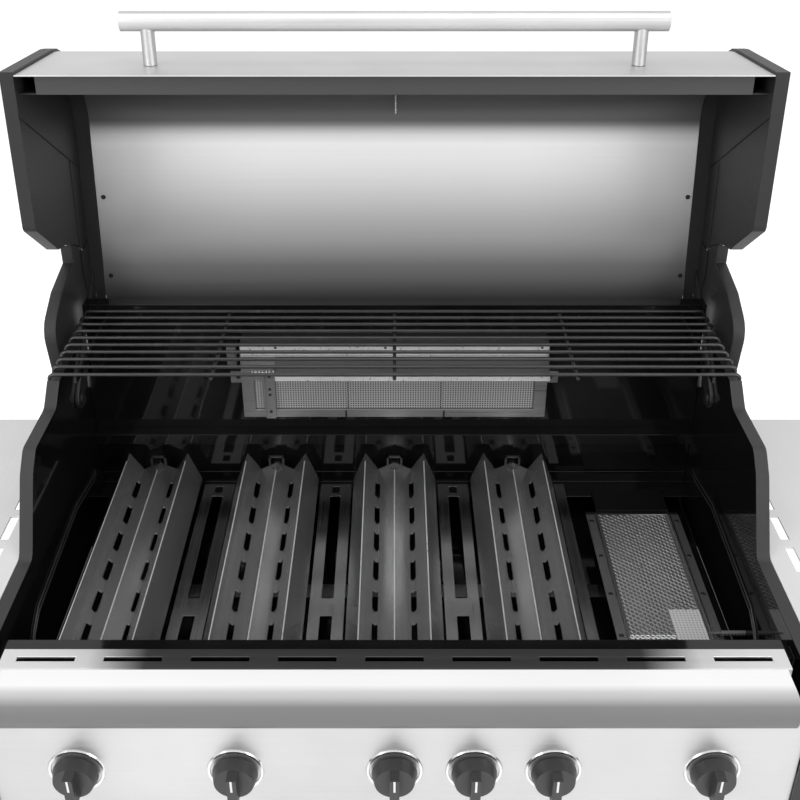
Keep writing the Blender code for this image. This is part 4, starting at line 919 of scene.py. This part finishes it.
def make_sear_trim():
    """Round wire loops at the guard's front end and the bare, paler corner of the tile."""
    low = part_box("sear_burner_mesh")[0]
    tile_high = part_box("sear_burner_tile")[1]

    def bare(data):
        add_block(data, (SEAR_BARE_X, SEAR_BARE_FRONT_Y, tile_high[2] - BARE_SINK),
                  (tile_high[0] - BARE_EDGE, SEAR_BARE_Y, tile_high[2] + BARE_PROUD))

    mesh_piece("bare_ceramic", bare, "firebox", BARE_TILE)
    y, z = SEAR_BARE_FRONT_Y + LOOP_REAR, low[2] + LOOP_RISE
    routes = []
    for i in range(LOOPS):
        x = low[0] + LOOP_FIRST_X + i * LOOP_PITCH
        routes.append([(x + LOOP_RADIUS * math.cos(angle), y + LOOP_RADIUS * math.sin(angle), z)
                       for angle in around(LOOP_SIDES) + [math.tau]])
    wires("sear_guard_loops", routes, LOOP_WIRE, "firebox", RIM)


# Stage

FLOOR_GREY = 0.86
FLOOR_ROUGH = 0.9
FLOOR_GLOW = 0.54
FLOOR_HALF = 12
FLOOR_Z = -0.0005
WORLD_LIGHT, WORLD_SEEN = 0.50, 1.0
WHITE = (1, 1, 1, 1)

# Lamps: place, aim, size and power
LAMPS = {
    "overhead": ((0, -0.3, 2.6), (0, 0.1, 0.2), (2.6, 1.6), 31),
    "front_left": ((-2.0, -2.0, 1.6), (0, 0.1, 0.4), (1.4, 1.4), 34),
    "front_right": ((2.0, -2.0, 1.6), (0, 0.1, 0.4), (1.4, 1.4), 34),
}


def background_rays(tree):
    """1 for the rays that see the background: from the camera, from metal and through glass."""
    ray = tree.nodes.new("ShaderNodeLightPath").outputs
    seen = ray["Is Camera Ray"]
    for name in ("Is Glossy Ray", "Is Transmission Ray"):
        seen = reckon(tree, "MAXIMUM", seen, ray[name])
    return seen


def make_floor():
    """A pale floor that glows a little for the rays that see the background, and keeps the shadow."""
    made, tree, shader = shader_tree("pale_floor")
    fix(shader, Base_Color=(*grey(FLOOR_GREY), 1), Roughness=FLOOR_ROUGH, Emission_Color=WHITE)
    glow = reckon(tree, "MULTIPLY", background_rays(tree), FLOOR_GLOW)
    tree.links.new(glow, shader.inputs["Emission Strength"])
    mesh = bpy.data.meshes.new("floor")
    data = bmesh.new()
    bmesh.ops.create_grid(data, x_segments=1, y_segments=1, size=FLOOR_HALF)
    data.to_mesh(mesh)
    data.free()
    floor = bpy.data.objects.new("floor", mesh)
    floor.location.z = FLOOR_Z
    mesh.materials.append(made)
    bpy.context.scene.collection.objects.link(floor)


def make_world():
    world = bpy.data.worlds.new("studio")
    bpy.context.scene.world = world
    world.use_nodes = True
    tree = world.node_tree
    back = tree.nodes["Background"]
    back.inputs["Color"].default_value = WHITE
    strength = spread(tree, background_rays(tree), WORLD_LIGHT, WORLD_SEEN, 0, 1)
    tree.links.new(strength, back.inputs["Strength"])


def make_lights():
    for name, (place, aim, size, power) in LAMPS.items():
        light = bpy.data.lights.new(name, "AREA")
        light.shape = "RECTANGLE"
        light.size, light.size_y = size
        light.energy = power
        obj = bpy.data.objects.new(name, light)
        obj.location = place
        obj.rotation_euler = (Vector(aim) - Vector(place)).to_track_quat("-Z", "Y").to_euler()
        bpy.context.scene.collection.objects.link(obj)


def make_camera():
    camera = bpy.data.cameras.new("camera")
    camera.sensor_width = SENSOR
    camera.lens = SENSOR * FOCAL_PIXELS / PICTURE_SIZE
    camera.shift_x = CENTRE_SHIFT_PIXELS / PICTURE_SIZE
    obj = bpy.data.objects.new("camera", camera)
    obj.location = CAMERA_PLACE
    obj.rotation_euler = (math.pi / 2 - CAMERA_PITCH, 0, 0)
    bpy.context.scene.collection.objects.link(obj)
    bpy.context.scene.camera = obj


make_camera()
dress_nodes()
make_rack()
make_sear_mesh()
make_sear_flanges()
make_liner_screws()
make_lid_seams()
make_rear_burner_trim()
make_knob_trim()
make_wall_beads()
make_tamer_brackets()
make_sear_trim()
make_igniter_strap()
make_tamer_highlight_lines()
make_shade_plates()
make_tray_foil()
make_floor()
make_world()
make_lights()
bpy.context.scene.view_settings.view_transform = "Standard"
